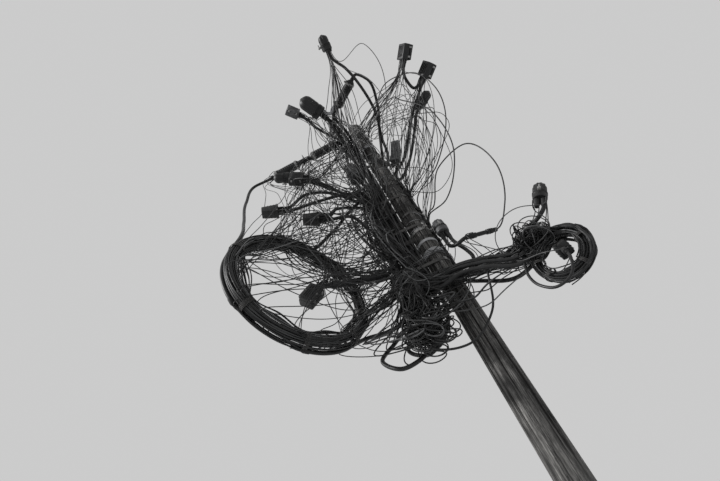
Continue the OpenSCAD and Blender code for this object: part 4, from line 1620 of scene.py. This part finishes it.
@dataclass
class HeavyCables:
    """The heavy sheathed cables between the closures, along the pole and to the coils."""

    sides: int = 20
    step: float = 0.016

    def build(self, work: Work) -> None:
        """Makes one piece for each CAD node of cables.

        Args:
            work: takes the pieces.
        """
        for node, names in NODE_ROUTES.items():
            runs = [Course.named(name).points(self.step) for name in names]
            work.wires(node + "_round", runs, CABLE_RADIUS, self.sides, node)


@dataclass
class WoundCord:
    """A cable wound on a ring: a core turn, then turns that creep round it side by side."""

    name: str
    node: str
    ring: Ring
    diameter: float
    pitch: float
    start: float
    entry: Flat
    lead: float
    tail: float
    exit: Flat
    turns: int = 4
    per_turn: int = 64
    core_end: float = 330.0
    step_over: float = 57.0

    def points(self) -> Run:
        """The cord's middle line, from where it comes on to where it leaves.

        Returns:
            Its points.
        """
        out_in, about_in = self.entry
        out_end, about_end = self.exit
        free = about_in + self.step_over
        full = 360.0 * (1 + self.turns) + self.tail
        found, count = [], int(self.per_turn * full / 360)
        for i in range(count + 1):
            s = full * i / count
            if s <= self.lead:
                out, about = out_in * (1 - ease(s / self.lead)), about_in
            elif s < self.core_end:
                out, about = 0.0, about_in
            elif s < 360:
                out, about = self.pitch * ease((s - self.core_end) / (360 - self.core_end)), free
            else:
                out, about = self.pitch, free + 60 * (s - 360) / 360
            left = full - s
            if left < self.lead:
                t = ease(1 - left / self.lead)
                out += (out_end - self.pitch) * t
                about += (about_end - about + 360 * round((about - about_end) / 360)) * t
            found.append(self.ring.spot(self.start - s, out, about))
        return found

    def build(self, work: Work) -> None:
        work.cord(self.name, self.points(), self.diameter, 16, "stiff", "coiled", self.node)


@dataclass
class DropLoop:
    """A loop of drop wire that springs out from a hook or a closure and comes back."""

    route: str
    node: str
    diameter: float
    tuck: tuple[Place, ...] = ()
    tightest: float = 4.2

    def build(self, work: Work) -> None:
        """Args:
            work: takes the pieces.
        """
        course = Course([*Course.named(self.route).knots, *(Vector(p) for p in self.tuck)])
        path = eased(course.points(), self.tightest * self.diameter)
        work.cord(self.node + "_round", path, self.diameter, 14, "medium", "hanging", self.node)


def hull(points: list[Flat]) -> list[Flat]:
    """The convex outline of points.

    Args:
        points: the points, in any order.

    Returns:
        The outline's corners, anticlockwise.
    """
    ordered = sorted(set(points))

    def half(run: list[Flat]) -> list[Flat]:
        """One side of the outline.

        Args:
            run: the points, in order along it.

        Returns:
            The corners, but the last.
        """
        kept: list[Flat] = []
        for q in run:
            while len(kept) > 1:
                a, b = kept[-2:]
                if (b[0] - a[0]) * (q[1] - a[1]) > (b[1] - a[1]) * (q[0] - a[0]):
                    break
                kept.pop()
            kept.append(q)
        return kept[:-1]

    return half(ordered) + half(ordered[::-1])


@dataclass
class Wraps:
    """Wire and tape wound round the pole and its bundle, and round the coils."""

    wire: float = 0.0022
    bundle_heights: tuple[float, ...] = (5.46, 5.08, 4.86, 4.58, 4.36, 4.12)
    slack_ties: tuple[float, ...] = (-20.0, 38.0, 97.0, 150.0, 214.0, 262.0, 305.0)
    side_ties: tuple[float, ...] = (0.0, 75.0, 160.0, 205.0, 290.0)
    lashings: tuple[tuple[float, float, int], ...] = (
        (4.33, 4.40, 16), (4.50, 4.53, 7), (4.66, 5.02, 3), (5.60, 6.30, 4), (6.34, 6.40, 12))
    seed: int = 3

    def _outline(self, height: float, out: float) -> list[Flat]:
        """The tight outline round the pole and the bundle.

        Args:
            height: where it lies.
            out: how far it stands off them.

        Returns:
            Its corners.
        """
        points = []
        for i in range(36):
            angle = math.radians(10 * i)
            reach = pole_radius(height) + out + (0.040 if 5 <= 10 * i <= 100 else 0.0)
            points.append((reach * math.cos(angle), reach * math.sin(angle)))
            for y in (-0.076, 0.076):
                points.append((-0.281 + (0.018 + out) * math.cos(angle), y + (0.018 + out) * math.sin(angle)))
        return hull(points)

    def _bundle_wrap(self, height: float, turns: int, draw: random.Random) -> Run:
        """A wire that goes round the pole and bundle, creeping down.

        Args:
            height: where it starts.
            turns: how often it goes round.
            draw: the random numbers.

        Returns:
            Its points.
        """
        outline = self._outline(height, 0.003 + draw.uniform(0.0, 0.004))
        drift = draw.uniform(0.008, 0.022)
        count = len(outline)
        return [
            Vector((
                *outline[i % count], height - drift * i / count + 0.004 * math.sin(FULL_TURN * i / count)
            ))
            for i in range(turns * count + count // 3)
        ]

    @staticmethod
    def _ring_tie(ring: Ring, angle: float, reach: float, turns: int, steps: int = 20) -> Run:
        """A wire wound round a coil's bundle of turns."""
        wide = 0.006 * 180 / (math.pi * ring.radius)
        return [ring.spot(angle + wide * i / steps, reach, 360 * i / steps) for i in range(turns * steps)]

    @staticmethod
    def _lashing(low: float, high: float, turns: int, steps: int = 28) -> Run:
        """A pale wire wound down the pole."""
        heights = [high + (low - high) * i / (steps * turns) for i in range(steps * turns + 1)]
        return [polar(pole_radius(z) + 0.0022, FULL_TURN * i / steps, z) for i, z in enumerate(heights)]

    def build(self, work: Work) -> None:
        """Makes the wraps of the pole, the bundle and the coils.

        Args:
            work: takes the pieces.
        """
        draw = random.Random(self.seed)
        runs = [self._bundle_wrap(z, draw.choice((2, 3, 4)), draw) for z in self.bundle_heights]
        runs += [self._ring_tie(SLACK_RING, a, 0.062, 6) for a in self.slack_ties]
        runs += [self._ring_tie(SIDE_RING, a, 0.046, 4) for a in self.side_ties]
        work.keep(work.sweep.tubes("wire_wraps", runs, self.wire, 6, Finish.STRAP), Finish.STRAP)
        pale = [self._lashing(*lashing) for lashing in self.lashings]
        work.keep(work.sweep.tubes("lashing_wire", pale, 0.0019, 6, Finish.PALE), Finish.ZINC)


@dataclass
class PaleSleeves:
    """Two light ribbed sleeves from the front dome closure to the long closure beside it."""

    courses: tuple[tuple[Place, ...], ...] = (
        ((-315, -593, 6681), (-296, -565, 6666), (-268, -524, 6646), (-229, -508, 6636), (-188, -532, 6650),
         (-151, -557, 6652), (-123, -581, 6652)),
        ((-307, -581, 6714), (-288, -553, 6699), (-260, -514, 6681), (-224, -500, 6672), (-188, -532, 6688),
         (-151, -557, 6688), (-123, -581, 6688)),
    )
    radius: float = 0.0135
    rib: float = 0.0028
    pitch: float = 0.009

    def build(self, work: Work) -> None:
        """Lofts each ribbed sleeve along its course.

        Args:
            work: takes the pieces.
        """
        shape = Shape()
        for course in self.courses:
            run = Course([Vector(p) / 1000 for p in course]).points(self.pitch / 4)
            side = (run[1] - run[0]).orthogonal().normalized()
            sections = []
            for i, point in enumerate(run):
                way = (run[min(i + 1, len(run) - 1)] - run[max(i - 1, 0)]).normalized()
                side = (side - way * side.dot(way)).normalized()
                other = way.cross(side)
                radius = self.radius + (self.rib if i % 4 in (1, 2) else 0.0)
                sections.append([
                    point + radius * (math.cos(k * math.pi / 10) * side + math.sin(k * math.pi / 10) * other)
                    for k in range(20)
                ])
            shape.loft(sections, Matrix.Identity(4))
        work.keep(shape.build("pale_ribbed_sleeves", [Finish.PALE], crease=60.0), Finish.PALE)


@dataclass
class CoilEnds:
    """Where a heavy cable lies on a coil: a shrunk boot, and its cores' jackets that go on round the ring."""

    strands: int = 4
    near: float = 0.09
    degrees: float = 57.3
    seed: int = 8
    boot: tuple[Flat, ...] = (
        (0.0170, -0.030), (0.0196, -0.028), (0.0196, 0.012), (0.0165, 0.022), (0.0120, 0.034),
        (0.0105, 0.036),
    )

    def _strands(
        self, ring: Ring, tip: Vector, before: Vector, own: Matrix, draw: random.Random
    ) -> list[Run]:
        """The jackets that go on from a cable's end.

        Args:
            ring: the ring of the coil.
            tip: the cable's end.
            before: a point of the cable shortly before it.
            own: the turn of the cable's end.
            draw: the random numbers.

        Returns:
            The points of each jacket.
        """
        angle, out, about = ring.locate(tip)
        sign = 1 if apart(angle, ring.locate(before)[0]) > 0 else -1
        way = (tip - before).normalized()
        large = ring is SLACK_RING
        runs = []
        for i in range(self.strands):
            start = tip + own @ polar(0.0075, math.radians(90 * i + 30))
            span = draw.uniform(0.5, 1.2) / ring.radius * self.degrees * (0.6 if large else 0.3)
            knots = [start, start + way * 0.04]
            side = about + draw.uniform(-35, 35)
            for k in range(1, 8):
                part = k / 7
                knots.append(ring.spot(
                    angle + sign * (3.5 / ring.radius + span * part),
                    out - (0.011 if large else 0.009) * min(1, 2 * part) * (i % 2) + 0.004 * draw.random(),
                    about + (side - about) * part + 4 * (i - 1.5)))
            runs.append(Course(knots).points())
        return runs

    def build(self, work: Work) -> None:
        """Finds each cable end that lies on a coil and dresses it.

        Args:
            work: takes the pieces.
        """
        draw = random.Random(self.seed)
        shape, runs = Shape(), []
        for name in (name for names in NODE_ROUTES.values() for name in names):
            path = Course.named(name).points()
            for tip, before in ((path[0], path[2]), (path[-1], path[-3])):
                for ring in (SLACK_RING, SIDE_RING):
                    if ring.locate(tip)[1] <= self.near:
                        own = (tip - before).normalized().to_track_quat("Z", "Y").to_matrix().to_4x4()
                        shape.lathe(list(self.boot), Matrix.Translation(tip) @ own, sides=20)
                        runs += self._strands(ring, tip, before, own, draw)
        work.keep(shape.build("coil_end_boots", [Finish.RUBBER]), Finish.RUBBER)
        work.wires("coil_end_strands", runs, 0.0046, 8)


@dataclass(frozen=True)
class Nest:
    """A place where thin wires gather: a middle and how far they spread from it, in metres."""

    middle: Place
    spread: Place

    def pick(self, draw: random.Random) -> Vector:
        """A point of the nest."""
        return Vector(m + s * draw.uniform(-1, 1) for m, s in zip(self.middle, self.spread))


NESTS: dict[str, Nest] = {
    "bundle_top": Nest((-0.21, -0.03, 5.42), (0.08, 0.08, 0.10)),
    "bundle_high": Nest((-0.22, -0.06, 5.05), (0.10, 0.09, 0.12)),
    "bundle_low": Nest((-0.24, -0.08, 4.45), (0.10, 0.08, 0.14)),
    "foot": Nest((-0.30, -0.14, 4.16), (0.09, 0.07, 0.05)),
    "foot_mouth": Nest((-0.33, -0.17, 3.89), (0.06, 0.04, 0.01)),
    "low": Nest((-0.33, -0.20, 3.60), (0.16, 0.06, 0.07)),
    "crossing": Nest((0.10, -0.17, 3.93), (0.05, 0.03, 0.04)),
    "side_run": Nest((0.46, -0.20, 3.84), (0.05, 0.04, 0.04)),
    "side_knot": Nest((0.60, -0.36, 3.81), (0.07, 0.06, 0.05)),
    "back_top": Nest((0.13, 0.04, 5.36), (0.01, 0.03, 0.10)),
}


@dataclass
class ThinWires:
    """The thin drop wires and jumpers between the closures, the bundle and the coils."""

    seed: int = 5
    clear: float = 0.012
    spring_count: int = 18
    hook_turns: tuple[float, ...] = (-125, -95, -25, 12)
    hook_reach: float = 0.1036
    hook_height: float = 6.6072
    foot_reach: float = 0.1355
    draw: random.Random = field(init=False)
    bodies: list[tuple[Matrix, Matrix, float, float]] = field(init=False)

    def __post_init__(self) -> None:
        """Starts the fixed run of random numbers, and notes where the closures are."""
        self.draw = random.Random(self.seed)
        self.bodies = []
        for member in (member for closures in closure_sets() for member in closures.members):
            own, half = member.frame()
            wide = getattr(member, "diameter", 0.0) / 2 or 0.62 * member.width
            self.bodies.append((own, own.inverted(), half + 0.004, wide + 0.007))

    def _off_closures(self, point: Vector) -> Vector:
        """Keeps a point out of the closures.

        Args:
            point: the point.

        Returns:
            The same point, or one on the skin of the closure that it lay in.
        """
        for own, inverse, half, wide in self.bodies:
            if (point - own.translation).length_squared > (half + wide) ** 2:
                continue
            spot = inverse @ point
            reach = math.hypot(spot.x, spot.y)
            if abs(spot.z) < half and reach < wide:
                push = wide / max(reach, 0.004)
                spot.x, spot.y = spot.x * push, spot.y * push
                point = own @ spot
        return point

    def _off_pole(self, point: Vector) -> Vector:
        """Keeps a point out of the pole.

        Args:
            point: the point.

        Returns:
            The same point, or one on the pole's skin.
        """
        least = pole_radius(min(max(point.z, 0), POLE_HEIGHT)) + self.clear
        flat = Vector((point.x, point.y, 0))
        if point.z < POLE_HEIGHT + 0.02 and flat.length < least:
            flat = flat.normalized() * least if flat.length > 1e-4 else Vector((-least, 0, 0))
            return Vector((flat.x, flat.y, point.z))
        return point

    def _clear_of_all(self, points: Run) -> Run:
        """The points, moved out of the pole and the closures, with both ends kept."""
        return [points[0], *(self._off_closures(self._off_pole(p)) for p in points[1:-1]), points[-1]]

    def _run(self, knots: Run, step: float = 0.03) -> Run:
        """A smooth run of points that keeps off the pole and inside the room of the frame.

        Args:
            knots: the points that it passes.
            step: about how far apart its points are.

        Returns:
            The run.
        """
        low, high = CAD_BOX
        kept = [Vector(max(a - 0.01, min(b + 0.01, c)) for a, b, c in zip(low, high, knot)) for knot in knots]
        run = self._clear_of_all(Course([self._off_pole(knot) for knot in kept]).points(step))
        for _ in range(6):
            inner = [(a + 2 * b + c) / 4 for a, b, c in zip(run, run[1:], run[2:])]
            run = self._clear_of_all([run[0], *inner, run[-1]])
        return run

    def _stray(self, size: float) -> Vector:
        """A small random move."""
        return Vector((self.draw.gauss(0, size), self.draw.gauss(0, size), self.draw.gauss(0, size)))

    def _nest(self, name: str) -> Vector:
        """A point of a named nest."""
        return NESTS[name].pick(self.draw)

    def _one_of(self, *names: str) -> Vector:
        """A point of a nest that is drawn by lot."""
        return self._nest(self.draw.choice(names))

    def _slack(self, a: Vector, b: Vector, stray: float, sag: float, bends: int = 3) -> Run:
        """Points between two ends, strayed and hanging a little.

        Args:
            a: the one end.
            b: the other end.
            stray: how far the points stray.
            sag: how far their middle hangs.
            bends: how many points there are.

        Returns:
            The points.
        """
        found, bow = [], self._stray(1.6 * stray)
        for i in range(1, bends + 1):
            t = i / (bends + 1)
            drop = bow * math.sin(math.pi * t) + up(-4 * sag * t * (1 - t))
            found.append(a.lerp(b, t) + self._stray(0.16 * stray) + drop)
        return found

    def _leave(self, mouth: Matrix, out: float, splay: float) -> tuple[Vector, Vector]:
        """Where a wire leaves a mouth beside its cable, and the next point of the wire."""
        ring = polar(out, self.draw.uniform(0, FULL_TURN))
        return mouth @ (ring + up(-0.004)), mouth @ (ring * splay + up(0.07))

    def from_closures(self) -> list[Run]:
        """Wires out of each closure's mouth into the bundle, in loose bights.

        Returns:
            The points of each wire.
        """
        runs = []
        for seat in SEATS.values():
            high = seat.place[2] > -2000
            for mouth in (mouth for mouth in seat.mouths() for _ in range(4 if high else 3)):
                start, lead = self._leave(mouth, 0.027, 1.2)
                if seat.place[0] > 350:
                    goal = self._nest("back_top" if high else "side_run")
                else:
                    goal = self._one_of("bundle_top", "bundle_high") if high else self._one_of("foot")
                stray = 0.05 + 0.06 * (goal - start).length
                runs.append(self._run([start, lead, *self._slack(lead, goal, stray, 0.10), goal]))
        return runs

    def down_the_bundle(self) -> Run:
        """A wire along the bundle, bulging out of it to the left and the front.

        Returns:
            Its knots.
        """
        draw = self.draw
        high, low = draw.uniform(4.75, 5.75), draw.uniform(3.95, 4.55)
        bulge, side = abs(draw.gauss(0, 0.13)), draw.uniform(-1, 1)
        start = Vector((draw.uniform(-0.31, -0.13), draw.uniform(-0.10, 0.09), 0))
        shift = Vector((draw.gauss(0, 0.03), draw.gauss(0, 0.03), 0))
        knots = []
        for t in (0, 0.2, 0.4, 0.6, 0.8, 1):
            swell = bulge * math.sin(math.pi * t) + 0.015
            out = Vector((-0.8 * swell + 0.25 * swell * side, -swell * (0.4 + 0.6 * abs(side)), 0))
            knots.append(start + shift * t + out + self._stray(0.010) + up(high + (low - high) * t))
        return knots

    def about_the_ring(self) -> Run:
        """Loose turns beside the large coil, from the bundle's foot and back to it.

        Returns:
            Its knots.
        """
        draw = self.draw
        start, goal = self._nest("foot"), self._nest("bundle_low")
        loose = draw.random() < 0.45
        size = draw.uniform(0.05, 0.15) if loose else draw.uniform(0.045, 0.060)
        about = draw.uniform(150, 240) if loose else draw.uniform(0, 360)
        turns = draw.choice((1, 1, 2))
        knots = [start, start + Vector((-0.22, 0.02, -0.10)) + self._stray(0.03)]
        for i in range(24 * turns + 1):
            angle = -30 - 322 * i / 24
            swell = free_of_ties(angle, Wraps.slack_ties, 16)
            reach = 0.052 + (size - 0.052) * swell + 0.012 * loose * swell * math.sin(i * 0.7 + size * 90)
            knots.append(SLACK_RING.spot(angle, reach, about + 25 * math.sin(i * 0.21 + about)))
        knots += [goal + Vector((-0.25, -0.02, 0.02)), goal]
        return knots

    def to_the_ring(self) -> Run:
        """A jumper that crosses from the bundle over the large coil and ends in its ties.

        Returns:
            Its knots.
        """
        start, angle = self._one_of("bundle_high", "bundle_low", "foot"), self.draw.uniform(60, 330)
        goal = SLACK_RING.spot(angle, 0.045, self.draw.uniform(0, 360))
        near = SLACK_RING.spot(angle - 20, 0.08, self.draw.uniform(0, 360))
        return [start, *self._slack(start, near, 0.10, 0.12), near, goal]

    def to_the_side(self) -> Run:
        """A wire from the bundle's foot round the pole's front to the small coil and its loops.

        Returns:
            Its knots.
        """
        start = self._nest("foot")
        cross = self._nest("crossing") + self._stray(0.03)
        out = self._nest("side_run") + self._stray(0.03)
        knots = [start, start + Vector((0.06, -0.04, -0.16)), cross, out]
        about, size = self.draw.uniform(-140, 140), self.draw.uniform(0.036, 0.075)
        for i in range(self.draw.choice((7, 12, 17))):
            angle = 150 - 24 * i
            reach = 0.040 + (size - 0.040) * free_of_ties(angle, Wraps.side_ties, 22)
            knots.append(SIDE_RING.spot(angle, reach, about + 20 * math.sin(i * 0.5)))
        return knots

    def over_the_side(self) -> Run:
        """A bight that lies over the small coil and its feed cables.

        Returns:
            Its knots.
        """
        heart = self._nest("side_knot")
        start, across = self._nest("side_run"), self._stray(1.0).normalized()
        other = across.cross(self._stray(1.0)).normalized()
        size, turns = self.draw.uniform(0.045, 0.115), self.draw.choice((1, 1, 2))
        knots = [start, start.lerp(heart, 0.5) + self._stray(0.02)]
        for i in range(8 * turns + 1):
            angle = math.pi * i / 4
            flat = across * math.cos(angle) * 1.25 + other * math.sin(angle) * 0.8
            knots.append(heart + size * Vector((flat.x * 1.2, flat.y, flat.z * 0.75)))
        goal = SIDE_RING.spot(self.draw.uniform(40, 150), 0.038, self.draw.uniform(0, 360))
        return [*knots, knots[-1].lerp(goal, 0.6), goal]

    def at_the_top(self) -> Run:
        """A wire between two of the closures round the pole's head, by way of the bundle's top.

        Returns:
            Its knots.
        """
        names = ("front_dome", "front_inline", "front_square", "strand_near", "dome_left", "upright",
                 "group_box", "group_dome", "front_oval", "square_high")
        ends = []
        for name, x in zip(self.draw.sample(names, 2), (0.02, -0.02)):
            mouths = SEATS[name].mouths()
            end = self.draw.choice(mouths) @ Vector((x, 0.01, -0.004))
            ends.append((end, end + (mouths[0].to_3x3() @ up(0.09))))
        (a, lead_a), (b, lead_b) = ends
        gather = Vector((-0.23, -0.10, 6.38)) + self._stray(0.085)
        return [
            a, lead_a, lead_a.lerp(gather, 0.5) + self._stray(0.04), gather,
            gather.lerp(lead_b, 0.5) + self._stray(0.04), lead_b, b
        ]

    def among_the_left(self) -> Run:
        """A jumper between two closures left of the bundle, or from one over the large coil.

        Returns:
            Its knots.
        """
        names = ("strand_near", "strand_far", "group_box", "group_dome", "tapered_far", "tapered_near",
                 "ring_box", "dome_left", "small_inline_near")
        ends = []
        for name in self.draw.sample(names, 2):
            mouths = SEATS[name].mouths(name.startswith(("strand", "small")))
            ends.append(self._leave(self.draw.choice(mouths), 0.026, 1.3))
        (a, lead_a), (b, lead_b) = ends
        if self.draw.random() < 0.4:
            b = SLACK_RING.spot(self.draw.uniform(60, 200), 0.045, self.draw.uniform(0, 360))
            lead_b = b.lerp(lead_a, 0.12) + self._stray(0.02)
        return [a, lead_a, *self._slack(lead_a, lead_b, 0.07, 0.06), lead_b, b]

    def spring(self, index: int) -> Run:
        """A wide arc that springs out of a hook at the head and comes back along the cables behind the pole.

        Args:
            index: its number, which picks the hook.

        Returns:
            Its knots.
        """
        draw = self.draw
        away = polar(1, math.radians(self.hook_turns[index % len(self.hook_turns)]))
        start = away * self.hook_reach + up(self.hook_height)
        across = Vector((-away.y, away.x, 0))
        across = across if across.x > 0 else -across
        foot = polar(self.foot_reach, math.radians(draw.uniform(8, 66)))
        low = draw.choice((5.30, 5.22, 4.78, 4.62)) + draw.uniform(-0.04, 0.04)
        wide, front = draw.uniform(0.20, 0.66), draw.uniform(-0.60, -0.10)
        knots = [start - across * 0.03, start + across * 0.05 + up(0.012)]
        goal = foot + up(low + 0.12)
        for k in range(1, 6):
            t = k / 6
            swell = math.sin(math.pi * t ** 0.8)
            out = Vector((wide * swell, front * swell, 0.22 * wide * swell))
            knots.append(start.lerp(goal, t) + out + self._stray(0.012))
        return [*knots, goal, foot + up(low)]

    def low_mass(self) -> Run:
        """Short bights below the bundle's foot, to the left of the pole.

        Returns:
            Its knots.
        """
        draw = self.draw
        start = self._nest("foot_mouth") + self._stray(0.02)
        goal = self._nest("low") + self._stray(0.03)
        low = min(start.z, goal.z) - draw.uniform(0.02, 0.16)
        middle = start.lerp(goal, 0.5) + self._stray(0.06)
        middle.z = low
        wide = Vector((draw.uniform(0.05, 0.09), 0, 0.035))
        back = goal + Vector((draw.uniform(-0.30, 0.25), draw.uniform(-0.05, 0.05), 0.05))
        return [
            start, start + up(-0.07), middle + Vector((-wide.x, 0, wide.z)), middle, middle + wide, goal,
            back, back.lerp(start, 0.6) + self._stray(0.04), self._nest("foot")
        ]

    def hanging(self) -> Run:
        """A bight that hangs below the bundle's foot.

        Returns:
            Its knots.
        """
        draw = self.draw
        start, goal = self._nest("foot_mouth"), self._one_of("crossing", "foot", "side_run")
        deep = draw.uniform(0.15, 0.42)
        middle = start.lerp(goal, 0.5) + Vector((0, -0.04, -deep)) + self._stray(0.04)
        half = Vector((draw.uniform(0.07, 0.13), draw.uniform(-0.03, 0.03), 0))
        return [
            start, start + up(-0.10), start.lerp(middle, 0.6) - half, middle - 0.7 * half + up(0.03),
            middle, middle + 0.7 * half + up(0.03), goal.lerp(middle, 0.55) + half, goal + up(-0.06), goal
        ]

    def _piece(
        self, work: Work, name: str, make: Callable[[], Run], count: int, step: float, radius: float
    ) -> None:
        """Makes one piece of the wires of a kind.

        Args:
            work: takes it.
            name: the piece's name.
            make: draws the knots of one wire.
            count: how many wires there are.
            step: about how far apart a wire's points are.
            radius: a wire's radius.
        """
        work.wires(name, [self._run(make(), step) for _ in range(count)], radius, 6, tone_and_painted_glint=1.0)

    def build(self, work: Work) -> None:
        """Makes a piece of each kind of wire, in the order that keeps the random numbers as they are.

        Args:
            work: takes the pieces.
        """
        work.wires("closure_wires", self.from_closures(), 0.0036, 6, tone_and_painted_glint=1.0)
        for kind in (
            ("bundle_wires", self.down_the_bundle, 120, 0.03, 0.0050),
            ("ring_wires", self.about_the_ring, 22, 0.035, 0.0046),
            ("ring_jumpers", self.to_the_ring, 62, 0.03, 0.0034),
            ("side_wires", self.to_the_side, 40, 0.025, 0.0042),
            ("side_knot_wires", self.over_the_side, 44, 0.02, 0.0038),
            ("head_wires", self.at_the_top, 70, 0.03, 0.0034),
            ("hanging_wires", self.hanging, 14, 0.03, 0.0042),
            ("low_wires", self.low_mass, 80, 0.03, 0.0048),
        ):
            self._piece(work, *kind)
        for i in range(self.spring_count):
            path = self._run(self.spring(i), 0.025)
            work.cord(f"spring_wire_{i + 1:02d}", path, 0.006, 10, "medium", "hanging", tone_and_painted_glint=1.0)
        self._piece(work, "left_jumpers", self.among_the_left, 84, 0.03, 0.0034)


@dataclass
class Stage:
    """The floor, the light and the camera, which is low at the pole's front and looks steeply up."""

    eye: Place = (-0.484, -2.830, 1.617)
    right: Place = (0.910, 0.321, -0.262)
    up: Place = (0.415, -0.705, 0.575)
    picture_width: int = 720
    focal_length: float = 467
    shift: float = -8.5
    sensor: float = 36.0
    reach: float = 30.0
    sun_way: Place = (0.80, 0.30, -0.52)

    def camera(self) -> None:
        """The photograph's camera; its focal length and shift are in pixels of the picture."""
        data = bpy.data.cameras.new("camera")
        data.sensor_width = self.sensor
        data.lens = self.focal_length / self.picture_width * self.sensor
        data.shift_y = self.shift / self.picture_width
        data.clip_end = 200
        camera = linked("camera", data)
        right = Vector(self.right)
        back = right.cross(Vector(self.up)).normalized()
        over = back.cross(right).normalized()
        turn = Matrix((right.normalized(), over, back)).transposed().to_4x4()
        camera.matrix_world = Matrix.Translation(self.eye) @ turn
        bpy.context.scene.camera = camera

    def floor(self) -> None:
        """A plain pale floor."""
        mesh = bpy.data.meshes.new("floor")
        corners = [(x * self.reach, y * self.reach, 0) for x, y in ((-1, -1), (1, -1), (1, 1), (-1, 1))]
        mesh.from_pydata(corners, [], [(0, 1, 2, 3)])
        made = Recipe("floor")
        colour = made.ramp(made.grain(made.place(), 5.0, 6.0, 0.6), [(0.3, 0.52), (0.7, 0.56)])
        made.feed(colour, made.shader.inputs["Base Color"])
        made.feed(0.9, made.shader.inputs["Roughness"])
        mesh.materials.append(made.material)
        linked("floor", mesh)

    def light(self) -> None:
        """Low sun from the upper left, soft sky, and a pale grey background."""
        world = bpy.data.worlds.new("sky")
        bpy.context.scene.world = world
        world.use_nodes = True
        sky = Nodes(world.node_tree)
        soft = sky.add("ShaderNodeBackground", {"Color": (0.72, 0.74, 0.76, 1.0), "Strength": 0.68})
        seen = sky.add("ShaderNodeBackground", {"Color": (0.60, 0.60, 0.60, 1.0), "Strength": 1.0})
        rays = sky.add("ShaderNodeLightPath").outputs
        most = rays["Is Camera Ray"]
        for kind in ("Is Glossy Ray", "Is Transmission Ray"):
            most = sky.add("ShaderNodeMath", {0: most, 1: rays[kind]}, operation="MAXIMUM").outputs[0]
        mixed = sky.add("ShaderNodeMixShader", {"Fac": most, 1: soft.outputs[0], 2: seen.outputs[0]})
        sky.add("ShaderNodeOutputWorld", {"Surface": mixed.outputs[0]})
        sun = bpy.data.lights.new("sun", "SUN")
        sun.energy = 3.3
        sun.angle = math.radians(2.5)
        lamp = linked("sun", sun)
        lamp.rotation_euler = Vector(self.sun_way).to_track_quat("-Z", "Y").to_euler()
        bpy.context.scene.view_settings.view_transform = "Standard"


def wound_cords() -> list[WoundCord]:
    """The two coils of slack cable.

    Returns:
        The large coil and the small one.
    """
    return [
        WoundCord("slack_coil_turns", "slack_coil", SLACK_RING, diameter=0.026, pitch=0.027, start=-94.0,
                  entry=(0.0645, -50.0), lead=30.0, tail=60.0, exit=(0.0645, -50.0)),
        WoundCord("side_coil_turns", "side_coil", SIDE_RING, diameter=0.018, pitch=0.019, start=22.0,
                  entry=(0.0485, 0.0), lead=40.0, tail=250.0, exit=(0.040, -90.0)),
    ]


def drop_loops() -> list[DropLoop]:
    """The free loops that the construction has as nodes.

    Returns:
        The loops, from the head down.
    """
    return [
        DropLoop("spring_high", "spring_loop_high", 0.012, ((0.126, 0.003, 5.045), (0.1240, 0.0063, 4.975))),
        DropLoop("spring_wide", "spring_loop_wide", 0.012, ((0.127, 0.003, 4.790), (0.1240, 0.0063, 4.700))),
        DropLoop("spring_low", "spring_loop_low", 0.012, (
            (0.156, -0.040, 4.880), (0.1270, 0.0030, 4.840), (0.1240, 0.0063, 4.790))),
        DropLoop("hose", "hose_loop", 0.020),
        DropLoop("hanging", "hanging_loop", 0.016),
    ]


# Width across the corners and height of each kind of screw head, in metres
HEAD_SIZES: dict[str, Flat] = {"bolt": (0.014, 0.009), "screw": (0.008, 0.004)}


def main() -> None:
    """Builds the looks of the pole in order and reports each piece."""
    logging.basicConfig(level=logging.INFO, format="%(message)s")
    stage = Stage()
    stage.camera()
    work = Work(SweepTree(), ScrewTree())
    cords = [*wound_cords(), *drop_loops()]
    rest = [HeavyCables(), ThinWires(), CoilEnds(), PaleSleeves(), Wraps(), PoleShaft(), SteelHardware()]
    for maker in (*cords, *rest, *closure_sets()):
        maker.build(work)
    for kind, (width, height) in HEAD_SIZES.items():
        work.keep(work.screw.screws(kind + "_heads", work.heads[kind], width, height), Finish.ZINC)
    stage.floor()
    stage.light()


if __name__ == "__main__":
    main()
